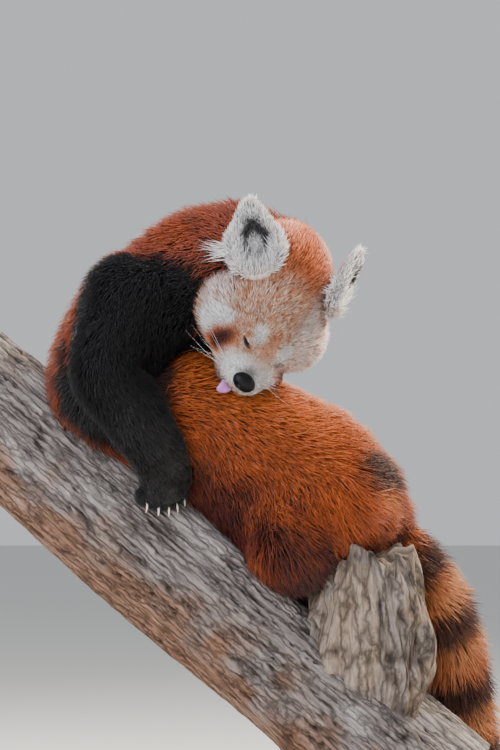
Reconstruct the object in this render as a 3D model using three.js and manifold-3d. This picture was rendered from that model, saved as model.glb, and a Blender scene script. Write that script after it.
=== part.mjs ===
// A life-size still model of a red panda that grooms its flank on a leaning piece of trunk, on a display stand.
// Millimetres, +Z up, X to the right and Y away from the viewer. The origin is the middle of the base's underside.
import * as THREE from "three";
import { mergeVertices } from "three/addons/utils/BufferGeometryUtils.js";
import Module from "manifold-3d";

const wasm = await Module();
wasm.setup();

// Driving dimensions of the animal, with its coat.
const gap = 0.3; // clearance between pieces that touch
const hipRadius = 69;
const shoulderRadius = 50;
const neckRadius = 47;
const tailRadius = 37;
const foreRadius = 27; // a foreleg above its wrist
const pawRadius = 23;
const earLength = 66;
const earWidth = 52;
const eyeRadius = 7;
const clawLength = 13;

// Driving dimensions of the perch and the stand.
const trunkRadius = 56;
const trunkStart = [-225, 30, 526];
const trunkEnd = [190, 30, 165];
const baseLength = 460;
const baseWidth = 270;
const baseThickness = 18;
const rodRadius = 9;

const V = (x, y, z) => new THREE.Vector3(x, y, z);
const unit = (x, y, z) => V(x, y, z).normalize();

// Distance fields. Each returns the distance from a point to a form's outside, negative within.
const smoothJoin = (a, b, reach) => {
  const share = Math.max(reach - Math.abs(a - b), 0) / reach;
  return Math.min(a, b) - (share * share * reach) / 4;
};

// A chain of stations [x, y, z, radius] as one smooth limb.
function limb(stations, perSpan = 4) {
  const curve = new THREE.CatmullRomCurve3(stations.map((s) => V(s[0], s[1], s[2])), false, "catmullrom", 0.5);
  const count = (stations.length - 1) * perSpan;
  const rings = [];
  for (let i = 0; i <= count; i++) {
    const at = i / perSpan;
    const from = Math.min(Math.floor(at), stations.length - 2);
    const share = at - from;
    const ease = share * share * (3 - 2 * share);
    const radius = stations[from][3] + (stations[from + 1][3] - stations[from][3]) * ease;
    rings.push({ p: curve.getPoint(i / count), r: radius });
  }
  const fieldOf = (some) => (p) => {
    let best = Infinity;
    for (let i = 0; i < some.length - 1; i++) {
      const a = some[i];
      const b = some[i + 1];
      const dx = b.p.x - a.p.x;
      const dy = b.p.y - a.p.y;
      const dz = b.p.z - a.p.z;
      const along = ((p.x - a.p.x) * dx + (p.y - a.p.y) * dy + (p.z - a.p.z) * dz) / (dx * dx + dy * dy + dz * dz);
      const t = Math.min(1, Math.max(0, along));
      const reach = Math.hypot(p.x - a.p.x - dx * t, p.y - a.p.y - dy * t, p.z - a.p.z - dz * t);
      best = Math.min(best, reach - a.r - (b.r - a.r) * t);
    }
    return best;
  };
  return { stations, curve, rings, fieldOf, field: fieldOf(rings) };
}

// An ellipsoid in a frame of its own: axes is a rotation matrix's columns.
function ball(centre, radii, axes = new THREE.Matrix4()) {
  const back = axes.clone().transpose();
  return (p) => {
    const q = V(p.x - centre.x, p.y - centre.y, p.z - centre.z).applyMatrix4(back);
    const k0 = Math.hypot(q.x / radii[0], q.y / radii[1], q.z / radii[2]);
    const k1 = Math.hypot(q.x / radii[0] ** 2, q.y / radii[1] ** 2, q.z / radii[2] ** 2);
    return k1 < 1e-9 ? -Math.min(...radii) : (k0 * (k0 - 1)) / k1;
  };
}

const blend = (fields, reach) => (p) => fields.reduce((d, f) => smoothJoin(d, f(p), reach), 1e4);

function slopeOf(field, p, step = 0.4) {
  return V(
    field(V(p.x + step, p.y, p.z)) - field(V(p.x - step, p.y, p.z)),
    field(V(p.x, p.y + step, p.z)) - field(V(p.x, p.y - step, p.z)),
    field(V(p.x, p.y, p.z + step)) - field(V(p.x, p.y, p.z - step)),
  ).normalize();
}

// The surface of a field as one closed mesh: one vertex for each grid cell that the surface crosses.
function skinOf(field, low, high, cell) {
  const count = [0, 1, 2].map((k) => Math.ceil((high.getComponent(k) - low.getComponent(k)) / cell) + 1);
  const index = (i, j, k) => (k * count[1] + j) * count[0] + i;
  const values = new Float32Array(count[0] * count[1] * count[2]);
  for (let k = 0; k < count[2]; k++)
    for (let j = 0; j < count[1]; j++)
      for (let i = 0; i < count[0]; i++)
        values[index(i, j, k)] = field(V(low.x + i * cell, low.y + j * cell, low.z + k * cell));
  const corners = [0, 1, 2, 3, 4, 5, 6, 7].map((c) => [c & 1, (c >> 1) & 1, c >> 2]);
  const edges = [];
  for (let a = 0; a < 8; a++) for (const bit of [1, 2, 4]) if (!(a & bit)) edges.push([a, a | bit]);
  const vertexOf = new Map();
  const points = [];
  for (let k = 0; k < count[2] - 1; k++)
    for (let j = 0; j < count[1] - 1; j++)
      for (let i = 0; i < count[0] - 1; i++) {
        const v = corners.map(([a, b, c]) => values[index(i + a, j + b, k + c)]);
        const inside = v.filter((x) => x < 0).length;
        if (inside === 0 || inside === 8) continue;
        const sum = V(0, 0, 0);
        let crossings = 0;
        for (const [a, b] of edges) {
          if (v[a] < 0 === v[b] < 0) continue;
          const t = v[a] / (v[a] - v[b]);
          sum.x += corners[a][0] + t * (corners[b][0] - corners[a][0]);
          sum.y += corners[a][1] + t * (corners[b][1] - corners[a][1]);
          sum.z += corners[a][2] + t * (corners[b][2] - corners[a][2]);
          crossings++;
        }
        const p = sum.divideScalar(crossings).add(V(i, j, k)).multiplyScalar(cell).add(low);
        for (let turn = 0; turn < 2; turn++) {
          const d = THREE.MathUtils.clamp(field(p), -cell / 2, cell / 2);
          p.addScaledVector(slopeOf(field, p), -d);
        }
        vertexOf.set(index(i, j, k), points.length);
        points.push(p);
      }
  const faces = [];
  const quad = (a, b, c, d, flip) => {
    const ring = [a, b, c, d].map((key) => vertexOf.get(key));
    const [p, q, r, s] = flip ? ring.reverse() : ring;
    if (points[p].distanceTo(points[r]) < points[q].distanceTo(points[s])) faces.push(p, q, r, p, r, s);
    else faces.push(p, q, s, q, r, s);
  };
  for (let k = 1; k < count[2] - 1; k++)
    for (let j = 1; j < count[1] - 1; j++)
      for (let i = 1; i < count[0] - 1; i++) {
        const here = values[index(i, j, k)] < 0;
        if (here !== values[index(i + 1, j, k)] < 0)
          quad(index(i, j - 1, k - 1), index(i, j, k - 1), index(i, j, k), index(i, j - 1, k), !here);
        if (here !== values[index(i, j + 1, k)] < 0)
          quad(index(i - 1, j, k - 1), index(i - 1, j, k), index(i, j, k), index(i, j, k - 1), !here);
        if (here !== values[index(i, j, k + 1)] < 0)
          quad(index(i - 1, j - 1, k), index(i, j - 1, k), index(i, j, k), index(i - 1, j, k), !here);
      }
  const geometry = new THREE.BufferGeometry();
  geometry.setAttribute("position", new THREE.Float32BufferAttribute(points.flatMap((p) => [p.x, p.y, p.z]), 3));
  geometry.setIndex(faces);
  return geometry;
}

// Closed geometry to a solid, and back. A form whose faces point inwards is turned over.
function solidOf(geometry) {
  const bare = (geometry.index ? geometry.toNonIndexed() : geometry.clone()).deleteAttribute("normal");
  bare.deleteAttribute("uv");
  const merged = mergeVertices(bare, 1e-4);
  const vertProperties = new Float32Array(merged.attributes.position.array);
  const triVerts = new Uint32Array(merged.index.array);
  const solid = new wasm.Manifold(new wasm.Mesh({ numProp: 3, vertProperties, triVerts }));
  if (solid.volume() > 0) return solid;
  for (let i = 0; i < triVerts.length; i += 3) [triVerts[i], triVerts[i + 1]] = [triVerts[i + 1], triVerts[i]];
  return new wasm.Manifold(new wasm.Mesh({ numProp: 3, vertProperties, triVerts }));
}

function largest(solid) {
  const pieces = solid.decompose();
  return pieces.reduce((best, piece) => (piece.volume() > best.volume() ? piece : best), pieces[0]);
}

function geometryOf(solid) {
  const mesh = solid.getMesh();
  const position = new Float32Array(mesh.numVert * 3);
  for (let i = 0; i < mesh.numVert; i++)
    for (let k = 0; k < 3; k++) position[i * 3 + k] = mesh.vertProperties[i * mesh.numProp + k];
  const geometry = new THREE.BufferGeometry();
  geometry.setAttribute("position", new THREE.BufferAttribute(position, 3));
  geometry.setIndex(new THREE.BufferAttribute(mesh.triVerts, 1));
  return shortEdgesClosed(geometry, 0.12);
}

// The same surface with every very short edge drawn together into one point.
function shortEdgesClosed(geometry, shortest) {
  const merged = mergeVertices(geometry, 1e-4);
  const points = [];
  const around = [];
  for (let i = 0; i < merged.attributes.position.count; i++) {
    points.push(V().fromBufferAttribute(merged.attributes.position, i));
    around.push(new Set());
  }
  const faces = [];
  for (let i = 0; i < merged.index.count; i += 3) {
    const face = [0, 1, 2].map((k) => merged.index.getX(i + k));
    if (new Set(face).size < 3) continue;
    for (const corner of face) around[corner].add(faces.length);
    faces.push(face);
  }
  const neighbours = (v) => new Set([...around[v]].flatMap((f) => faces[f]).filter((w) => w !== v));
  for (let f = 0; f < faces.length; f++) {
    for (let k = 0; k < 3 && faces[f]; k++) {
      const a = faces[f][k];
      const b = faces[f][(k + 1) % 3];
      if (points[a].distanceTo(points[b]) > shortest) continue;
      const near = neighbours(a);
      if ([...neighbours(b)].filter((v) => near.has(v)).length !== 2) continue;
      points[a].add(points[b]).multiplyScalar(0.5);
      for (const g of [...around[b]]) {
        if (faces[g].includes(a)) {
          for (const corner of faces[g]) around[corner].delete(g);
          faces[g] = null;
        } else {
          faces[g] = faces[g].map((v) => (v === b ? a : v));
          around[a].add(g);
        }
      }
      around[b].clear();
    }
  }
  const tidy = new THREE.BufferGeometry();
  tidy.setAttribute("position", new THREE.Float32BufferAttribute(points.flatMap((p) => [p.x, p.y, p.z]), 3));
  tidy.setIndex(faces.filter((face) => face).flat());
  return mergeVertices(tidy.toNonIndexed(), 1e-5);
}

// The pieces. Each keeps a solid, and the solid that its neighbours must clear.
const group = new THREE.Group();
const kept = [];

const boundsOf = (rings, margin) => {
  const box = new THREE.Box3();
  for (const ring of rings) {
    box.expandByPoint(ring.p.clone().subScalar(ring.r + margin));
    box.expandByPoint(ring.p.clone().addScalar(ring.r + margin));
  }
  return box;
};

// The half of space on the side that a direction points to, as a large block.
function halfSpace(point, direction) {
  const size = 900;
  const block = new THREE.BoxGeometry(size, size, size);
  block.translate(0, 0, size / 2);
  block.applyQuaternion(new THREE.Quaternion().setFromUnitVectors(V(0, 0, 1), direction.clone().normalize()));
  block.translate(point.x, point.y, point.z);
  return solidOf(block);
}

const flesh = (colour, roughness = 0.95) => new THREE.MeshStandardMaterial({ color: colour, roughness, metalness: 0 });
const coat = {
  rust: flesh(0xb5602c),
  nape: flesh(0x7d3a2c),
  black: flesh(0x1a1618),
  ringDark: flesh(0x4a2018),
  ringPale: flesh(0xcf8a58),
  white: flesh(0xe8e2de),
  eye: flesh(0x120d0a, 0.08),
  nose: flesh(0x14181a, 0.3),
  tongue: flesh(0xc489b4, 0.4),
  claw: flesh(0xcfc4b4, 0.4),
};
const bark = flesh(0x8d8078, 0.9);
const broken = flesh(0xa08f80, 0.9);
const lacquer = flesh(0x3a2a20, 0.35);
const steel = new THREE.MeshStandardMaterial({ color: 0xb8bbbe, roughness: 0.3, metalness: 1 });

// Adds a node from a solid, cleared of every earlier one that it may touch.
function addNode(name, material, solid, grown, clearOf = []) {
  let shape = solid;
  for (const other of clearOf) {
    const found = kept.find((entry) => entry.name === other);
    if (!found) throw new Error(`no piece ${other}`);
    shape = shape.subtract(found.grown);
  }
  shape = largest(shape);
  const mesh = new THREE.Mesh(geometryOf(shape), material);
  mesh.name = name;
  group.add(mesh);
  kept.push({ name, shape, grown: grown ?? shape });
  return shape;
}

// A form given by its field: the solid and the same form with the clearance round it.
function form(field, box, cell) {
  const low = box.min.clone().subScalar(cell * 1.5);
  const high = box.max.clone().addScalar(cell * 1.5);
  const skin = skinOf(field, low, high, cell);
  const wider = skin.clone();
  const position = wider.attributes.position;
  const p = V();
  for (let i = 0; i < position.count; i++) {
    p.fromBufferAttribute(position, i).addScaledVector(slopeOf(field, p), gap * 1.25);
    position.setXYZ(i, p.x, p.y, p.z);
  }
  return { solid: largest(solidOf(skin)), grown: largest(solidOf(wider)) };
}

// A length of a limb between two stations, cut square to its line.
function lengthOf(part, from, to, cell) {
  const steps = part.rings.length - 1;
  const last = part.stations.length - 1;
  const first = Math.max(0, Math.floor(((from - 0.8) / last) * steps));
  const end = Math.min(steps, Math.ceil(((to + 0.8) / last) * steps));
  const rings = part.rings.slice(first, end + 1);
  const bare = part.fieldOf(rings);
  const withToes = part.foot && to === last;
  const field = withToes ? (p) => smoothJoin(bare(p), part.foot(p), 5) : bare;
  const made = form(field, boundsOf(rings, withToes ? 14 : 0), cell);
  const trim = (solid, slack) => {
    let cut = solid;
    if (from > 0) cut = cut.intersect(planeAt(part, from, 1, slack));
    if (to < last) cut = cut.intersect(planeAt(part, to, -1, slack));
    return cut;
  };
  return { solid: trim(made.solid, gap / 2), grown: trim(made.grown, -gap / 2) };
}

// The cut at a station. Cuts round the tight bend of the body all pass through one line, its hinge.
function planeAt(part, station, side, slack) {
  const t = station / (part.stations.length - 1);
  const at = part.curve.getPoint(t);
  const tangent = part.curve.getTangent(t);
  if (part.hinge && station > part.hinge.from && station < part.hinge.to) {
    const spoke = V(part.hinge.at[0] - at.x, 0, part.hinge.at[1] - at.z);
    const square = V(spoke.z, 0, -spoke.x).normalize();
    tangent.copy(square.dot(tangent) < 0 ? square.negate() : square);
  }
  tangent.multiplyScalar(side);
  return halfSpace(at.addScaledVector(tangent, slack), tangent);
}

// The trunk: a closed skin of rings round its axis, with ridged bark.
const trunkFrom = V(...trunkStart);
const trunkAxis = V(...trunkEnd).sub(trunkFrom);
const trunkLine = trunkAxis.clone().normalize();
const trunkSide = V(0, 1, 0);
const trunkUp = V().crossVectors(trunkSide, trunkLine).negate();

function trunkRing(t, turn, extra = 0) {
  const swell = trunkRadius * (0.94 + 0.13 * t) + 2.5 * Math.sin(7 * t + 2 * turn) + 1.6 * Math.sin(5 * turn + 9 * t);
  return swell + 1.3 * Math.sin(11 * turn - 6 * t) + extra;
}

function loft(rings, cap = true) {
  const points = rings.flat();
  const around = rings[0].length;
  const faces = [];
  for (let i = 0; i < rings.length - 1; i++)
    for (let j = 0; j < around; j++) {
      const a = i * around + j;
      const b = i * around + ((j + 1) % around);
      faces.push(a, b, b + around, a, b + around, a + around);
    }
  if (cap) {
    const ends = [rings[0], rings[rings.length - 1]].map((ring) =>
      ring.reduce((sum, p) => sum.add(p), V(0, 0, 0)).divideScalar(around),
    );
    const lastRow = (rings.length - 1) * around;
    points.push(...ends);
    for (let j = 0; j < around; j++) {
      const next = (j + 1) % around;
      faces.push(points.length - 2, next, j);
      faces.push(points.length - 1, lastRow + j, lastRow + next);
    }
  }
  const geometry = new THREE.BufferGeometry();
  geometry.setAttribute("position", new THREE.Float32BufferAttribute(points.flatMap((p) => [p.x, p.y, p.z]), 3));
  geometry.setIndex(faces);
  return geometry;
}

function trunkSolid(extra) {
  const rings = [];
  const lengths = 10;
  const around = 18;
  for (let i = 0; i <= lengths; i++) {
    const t = i / lengths;
    const reach = extra * (2 * t - 1);
    const ring = [];
    for (let j = 0; j < around; j++) {
      const turn = (j / around) * 2 * Math.PI;
      const radius = trunkRing(t, turn, extra);
      const p = trunkFrom.clone().addScaledVector(trunkAxis, t).addScaledVector(trunkLine, reach);
      p.addScaledVector(trunkUp, radius * Math.cos(turn)).addScaledVector(trunkSide, radius * Math.sin(turn));
      ring.push(p);
    }
    rings.push(ring);
  }
  return solidOf(loft(rings));
}
addNode("perch_trunk", bark, trunkSolid(0), trunkSolid(gap));

// The broken stub of a branch, seated on the trunk's near upper side.
const stubRoot = V(130, 4, 262);
const stubLine = unit(-0.04, -0.12, 0.99);
const stubHeight = 118;
const stubRadius = 50;

function stubSolid(extra) {
  const rings = [];
  const around = 12;
  const levels = 5;
  const side = unit(1, 0.1, 0.03);
  const deep = V().crossVectors(stubLine, side);
  for (let i = 0; i <= levels; i++) {
    const t = i / levels;
    const ring = [];
    for (let j = 0; j < around; j++) {
      const turn = (j / around) * 2 * Math.PI;
      const flake = 1 + 0.06 * Math.sin(5 * turn + 1.4 * i) + 0.04 * Math.sin(9 * turn - i);
      const across = (stubRadius * (1.08 - 0.32 * t * t) + extra) * flake;
      const ragged = i === levels ? 5 * Math.sin(3 * turn + 1) - 3 * Math.cos(5 * turn) + extra : 0;
      const p = stubRoot.clone().addScaledVector(stubLine, t * stubHeight + ragged);
      p.addScaledVector(side, across * Math.cos(turn)).addScaledVector(deep, across * 0.66 * Math.sin(turn));
      ring.push(p);
    }
    rings.push(ring);
  }
  return solidOf(loft(rings));
}
addNode("perch_stub", broken, stubSolid(0), stubSolid(gap), ["perch_trunk"]);

// The stand: a flat base with rounded corners and two rods up to the trunk.
function baseShape() {
  const shape = new THREE.Shape();
  const x = baseLength / 2;
  const y = baseWidth / 2;
  const r = 40;
  shape.moveTo(-x + r, -y);
  shape.lineTo(x - r, -y);
  shape.absarc(x - r, -y + r, r, -Math.PI / 2, 0);
  shape.lineTo(x, y - r);
  shape.absarc(x - r, y - r, r, 0, Math.PI / 2);
  shape.lineTo(-x + r, y);
  shape.absarc(-x + r, y - r, r, Math.PI / 2, Math.PI);
  shape.lineTo(-x, -y + r);
  shape.absarc(-x + r, -y + r, r, Math.PI, Math.PI * 1.5);
  return shape;
}
const base = new THREE.ExtrudeGeometry(baseShape(), { depth: baseThickness, bevelEnabled: false, curveSegments: 4 });
addNode("stand_base", lacquer, solidOf(base));
[60, 155].forEach((x, i) => {
  const foot = baseThickness + gap;
  const top = trunkStart[2] + ((x - trunkStart[0]) / trunkAxis.x) * trunkAxis.z;
  const rod = new THREE.CylinderGeometry(rodRadius, rodRadius, top - foot, 16);
  rod.rotateX(Math.PI / 2);
  rod.translate(x, trunkStart[1], (top + foot) / 2);
  const clear = solidOf(rod).subtract(kept[0].grown);
  const pieces = clear.decompose().sort((a, b) => a.boundingBox().min[2] - b.boundingBox().min[2]);
  addNode(`stand_rod_${i + 1}`, steel, pieces[0]);
});

// The head's own frame: forward along the muzzle, up through the crown, right to the viewer's right.
const headForward = unit(-0.12, -0.62, -0.775);
const headSide = unit(0.68, 0.52, -0.52);
const headUp = V().crossVectors(headForward, headSide).normalize();
const headAxes = new THREE.Matrix4().makeBasis(headSide, headForward, headUp);
const noseTip = V(20, -48, 523);
const onHead = (side, forward, up) =>
  noseTip.clone().addScaledVector(headSide, side).addScaledVector(headForward, forward).addScaledVector(headUp, up);

const skull = ball(V(51, -6, 617), [45, 47, 45], headAxes);
const face = ball(V(36, -10, 574), [52, 44, 40], headAxes);
const muzzle = ball(onHead(3, -25, -8), [27, 25, 18], headAxes);
const chin = ball(onHead(0, -31, -21), [17, 22, 9], headAxes);
const cheekNear = ball(V(3, -26, 584), [27, 30, 26], headAxes);
const cheekFar = ball(V(62, 8, 570), [27, 30, 27], headAxes);
const skullJoin = blend([skull, face, cheekNear, cheekFar], 26);
const headField = (p) => smoothJoin(skullJoin(p), smoothJoin(muzzle(p), chin(p), 6), 14);

// Round pieces of few faces: a ball drawn out along the axes of a frame.
function pebble(centre, radii, axes, extra = 0, detail = 10) {
  const geometry = new THREE.SphereGeometry(1, detail, Math.round(detail * 0.7));
  geometry.scale(...radii.map((r) => r + extra));
  geometry.applyMatrix4(axes);
  geometry.translate(centre.x, centre.y, centre.z);
  return solidOf(geometry);
}

// The first point of the head's skin met when looking along +Y.
function onSkin(x, z) {
  const p = V(x, -140, z);
  while (headField(p) > 0.05 && p.y < 60) p.y += Math.max(0.05, headField(p) * 0.5);
  return p;
}

// The head is coarse behind and fine round the eyes and the muzzle.
function headForm() {
  const middle = V(24, -42, 543);
  const reach = 40;
  const core = (p) => {
    const inside = THREE.MathUtils.clamp((reach - p.distanceTo(middle)) / 6, 0, 1);
    return headField(p) + 1.4 * inside;
  };
  const front = (p) => Math.max(headField(p), p.distanceTo(middle) - reach);
  const whole = form(core, new THREE.Box3(V(-30, -90, 500), V(110, 60, 675)), 15.2);
  const fine = form(front, new THREE.Box3(V(-20, -90, 500), V(66, 0, 586)), 6.4);
  return { solid: whole.solid.add(fine.solid), grown: whole.grown.add(fine.grown) };
}

// Eyes, nearly shut: each ball lies under a lid with a slit, and the slit slopes towards the nose.
const eyes = [
  { name: "eye_right", at: onSkin(23, 559.5), slit: unit(0.39, 0, -0.92) },
  { name: "eye_left", at: onHead(20, -38, 4), slit: unit(-0.25, -0.5, -0.83) },
];
for (const eye of eyes) {
  for (let turn = 0; turn < 8; turn++) eye.at.addScaledVector(slopeOf(headField, eye.at), -headField(eye.at));
  eye.out = slopeOf(headField, eye.at);
  eye.centre = eye.at.clone().addScaledVector(eye.out, -eyeRadius * 0.62);
  const along = eye.slit.clone().addScaledVector(eye.out, -eye.slit.dot(eye.out)).normalize();
  eye.axes = new THREE.Matrix4().makeBasis(along, eye.out, V().crossVectors(along, eye.out));
}

// A flat lens of space round the muzzle, which cuts the line of the mouth a little way in.
function mouthLine() {
  const slab = pebble(onHead(1, -27, -15.5), [31, 30, 1.3], headAxes, 0, 16);
  const inner = pebble(onHead(1, -29, -14), [22.5, 22, 20], headAxes, 0, 12);
  return slab.subtract(inner);
}

const noseCentre = onHead(1, -4, -1);
const noseRadii = [11, 7.5, 7.5];

// Ears: a leaf that is hollowed on its front.
function earForm(root, along, front, length, width) {
  const across = V().crossVectors(along, front).normalize();
  const open = V().crossVectors(across, along).normalize();
  const axes = new THREE.Matrix4().makeBasis(across, open, along);
  const middle = root.clone().addScaledVector(along, length * 0.45);
  const leaf = ball(middle, [width / 2, 13, length * 0.55], axes);
  const cup = ball(middle.clone().addScaledVector(open, 13).addScaledVector(along, -2), [width * 0.3, 15, length * 0.33], axes);
  const field = (p) => -smoothJoin(-leaf(p), cup(p), 8);
  const box = new THREE.Box3().setFromCenterAndSize(middle, V(90, 90, 90));
  return form(field, box, 7.1);
}

// Limbs.
const torso = limb([
  [122, 46, 414, 45],
  [98, 40, 430, 60],
  [66, 34, 444, hipRadius + 3],
  [25, 30, 465, hipRadius + 2],
  [-21, 26, 492, hipRadius - 1],
  [-64, 20, 506, 60],
  [-96, 4, 522, 55],
  [-81, -8, 572, shoulderRadius + 2],
  [-46, 0, 606, shoulderRadius + 1],
  [-18, 8, 628, neckRadius + 2],
  [17, 20, 636, neckRadius],
  [48, 25, 628, 42],
]);
torso.hinge = { at: [-40, 558], from: 3.5, to: 9.5 };

const foreRight = limb([
  [-76, -30, 598, 39],
  [-95, -56, 540, 33],
  [-75, -60, 505, foreRadius + 4],
  [-57, -50, 476, foreRadius],
  [-49, -36, 459, foreRadius - 3],
  [-46, -26, 445, pawRadius],
]);
const foreLeft = limb([
  [-70, 46, 590, 34],
  [-100, 76, 542, 29],
  [-88, 82, 508, foreRadius],
  [-76, 78, 482, foreRadius - 2],
  [-70, 71, 463, foreRadius - 4],
  [-66, 66, 447, pawRadius - 1],
]);
const hindLeft = limb([
  [94, 8, 420, 52],
  [62, -14, 393, 45],
  [90, 2, 369, 29],
  [134, 36, 326, 24],
  [114, 42, 322, pawRadius],
]);
const hindRight = limb([
  [94, 66, 418, 48],
  [62, 92, 392, 38],
  [92, 94, 358, 28],
  [118, 88, 328, 23],
  [90, 86, 328, pawRadius],
]);
const tail = limb([
  [130, 46, 410, 33],
  [158, 54, 375, tailRadius - 1],
  [181, 64, 340, tailRadius + 1],
  [197, 82, 298, tailRadius + 1],
  [208, 104, 252, tailRadius],
  [216, 121, 205, tailRadius],
  [221, 130, 160, tailRadius - 2],
  [224, 134, 115, tailRadius - 5],
  [226, 136, 78, 24],
  [227, 137, 50, 10],
]);

const headNode = "head";
const head = headForm();
let headSolid = head.solid;
let headGrown = head.grown;
for (const eye of eyes) {
  const lid = pebble(eye.centre, [eyeRadius + 1.6, eyeRadius + 1.6, eyeRadius + 1.4], eye.axes);
  const slit = pebble(eye.centre.clone().addScaledVector(eye.out, eyeRadius), [eyeRadius, eyeRadius, 0.9], eye.axes);
  headSolid = headSolid.add(lid).subtract(slit);
  headGrown = headGrown.add(pebble(eye.centre, [eyeRadius + 2, eyeRadius + 2, eyeRadius + 2], eye.axes));
  headSolid = headSolid.subtract(pebble(eye.centre, [eyeRadius, eyeRadius, eyeRadius], eye.axes, gap));
}
const nose = pebble(noseCentre, noseRadii, headAxes);
const nostrils = [-1, 1].map((side) =>
  pebble(noseCentre.clone().addScaledVector(headSide, side * 5.5).addScaledVector(headForward, 6.5), [2.2, 3, 1.7], headAxes, 0, 8),
);
const noseGrown = pebble(noseCentre, noseRadii, headAxes, gap);
const tonguePath = [onHead(0, -20, -14), onHead(-2, -10, -16), onHead(-4, -3, -19), onHead(-6, 0, -24)];

// The tongue: a flat tapering tongue of even thickness with a round tip.
function tongueSolid(extra) {
  const curve = new THREE.CatmullRomCurve3(tonguePath);
  const rings = [];
  for (let i = 0; i <= 6; i++) {
    const t = i / 6;
    const p = curve.getPoint(t);
    const line = curve.getTangent(t);
    const flat = V().crossVectors(headSide, line).normalize();
    const wide = (6.5 * Math.sqrt(Math.max(0.12, 1 - t ** 3)) + extra);
    const ring = [];
    for (let j = 0; j < 10; j++) {
      const turn = (j / 10) * 2 * Math.PI;
      const q = p.clone().addScaledVector(headSide, wide * Math.cos(turn));
      ring.push(q.addScaledVector(flat, (2.2 + extra) * Math.sin(turn)));
    }
    rings.push(ring);
  }
  return solidOf(loft(rings));
}
headSolid = headSolid.subtract(mouthLine()).subtract(noseGrown).subtract(tongueSolid(gap));
addNode(headNode, coat.rust, headSolid, headGrown);
addNode("nose", coat.nose, nose.subtract(nostrils[0]).subtract(nostrils[1]), noseGrown);
addNode("tongue", coat.tongue, tongueSolid(0), tongueSolid(gap), ["nose"]);
for (const eye of eyes) addNode(eye.name, coat.eye, pebble(eye.centre, [eyeRadius, eyeRadius, eyeRadius], eye.axes));
const earNear = earForm(V(33, -42, 612), unit(-0.12, -0.12, 0.98), unit(-0.15, -0.98, -0.1), earLength, earWidth);
addNode("ear_right", coat.white, earNear.solid, earNear.grown, [headNode]);
const earFar = earForm(V(94, -6, 584), unit(0.42, 0.05, 0.9), unit(0.85, -0.3, -0.4), earLength - 8, earWidth - 6);
addNode("ear_left", coat.white, earFar.solid, earFar.grown, [headNode]);

const paws = [];

// Toes spread over the trunk in front of a paw, along a heading that is laid flat on the bark.
function toesOf(part, heading, spacing) {
  const paw = V(...part.stations[part.stations.length - 1]);
  const radius = part.stations[part.stations.length - 1][3];
  const fromAxis = paw.clone().sub(trunkFrom);
  const out = fromAxis.addScaledVector(trunkLine, -fromAxis.dot(trunkLine));
  const lift = trunkRadius + 10 - out.length();
  out.normalize();
  const ahead = heading.clone().addScaledVector(out, -heading.dot(out)).normalize();
  const across = V().crossVectors(ahead, out);
  return [-2, -1, 0, 1, 2].map((i) => {
    const centre = paw.clone().addScaledVector(across, i * spacing).addScaledVector(ahead, radius * 0.62 - i * i * 1.6);
    centre.addScaledVector(out, lift);
    return { centre, ahead: ahead.clone().addScaledVector(across, i * 0.12).normalize(), out };
  });
}

// A claw: a hooked spike from the tip of its toe.
function clawSolid(toe, extra) {
  const rings = [];
  const root = toe.centre.clone().addScaledVector(toe.ahead, 4).addScaledVector(toe.out, 1);
  const side = V().crossVectors(toe.ahead, toe.out);
  for (let i = 0; i <= 3; i++) {
    const t = i / 3;
    const bend = t * 0.9;
    const p = root.clone().addScaledVector(toe.ahead, Math.sin(bend) * clawLength * 1.1);
    p.addScaledVector(toe.out, (Math.cos(bend) - 1) * clawLength * 0.9);
    const radius = 2.2 * (1 - t * 0.82) + extra;
    const ring = [];
    for (let j = 0; j < 5; j++) {
      const turn = (j / 5) * 2 * Math.PI;
      ring.push(p.clone().addScaledVector(side, radius * Math.cos(turn)).addScaledVector(toe.out, radius * Math.sin(turn)));
    }
    rings.push(ring);
  }
  return solidOf(loft(rings));
}

function addLeg(name, part, splits, heading, clearOf) {
  const names = ["upper", "lower", "paw"];
  const cells = [20, 13, 8.2];
  const toes = toesOf(part, heading, 8.6);
  part.foot = blend(toes.map((toe) => ball(toe.centre, [8, 8, 8])), 3);
  toes.forEach((toe, i) => {
    const claw = `${name}_claw_${i + 1}`;
    addNode(claw, coat.claw, clawSolid(toe, 0), clawSolid(toe, gap), [...clearOf, ...paws]);
    paws.push(claw);
  });
  for (let i = splits.length - 2; i >= 0; i--) {
    const made = lengthOf(part, splits[i], splits[i + 1], cells[i]);
    const node = `${name}_${names[i]}`;
    addNode(node, coat.black, made.solid, made.grown, [...clearOf, ...paws]);
    paws.push(node);
  }
}
addLeg("foreleg_right", foreRight, [0, 2, 4.2, 5], V(0.35, -0.3, -0.9), ["perch_trunk", headNode]);
addLeg("foreleg_left", foreLeft, [0, 2, 4.2, 5], V(0.3, 0.5, -0.8), ["perch_trunk", headNode]);
addLeg("hindleg_left", hindLeft, [0, 1.5, 3, 4], V(-0.75, -0.1, 0.66), ["perch_trunk", "perch_stub"]);
addLeg("hindleg_right", hindRight, [0, 1.5, 3, 4], V(-0.75, 0.1, 0.4), ["perch_trunk", "perch_stub"]);

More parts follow.
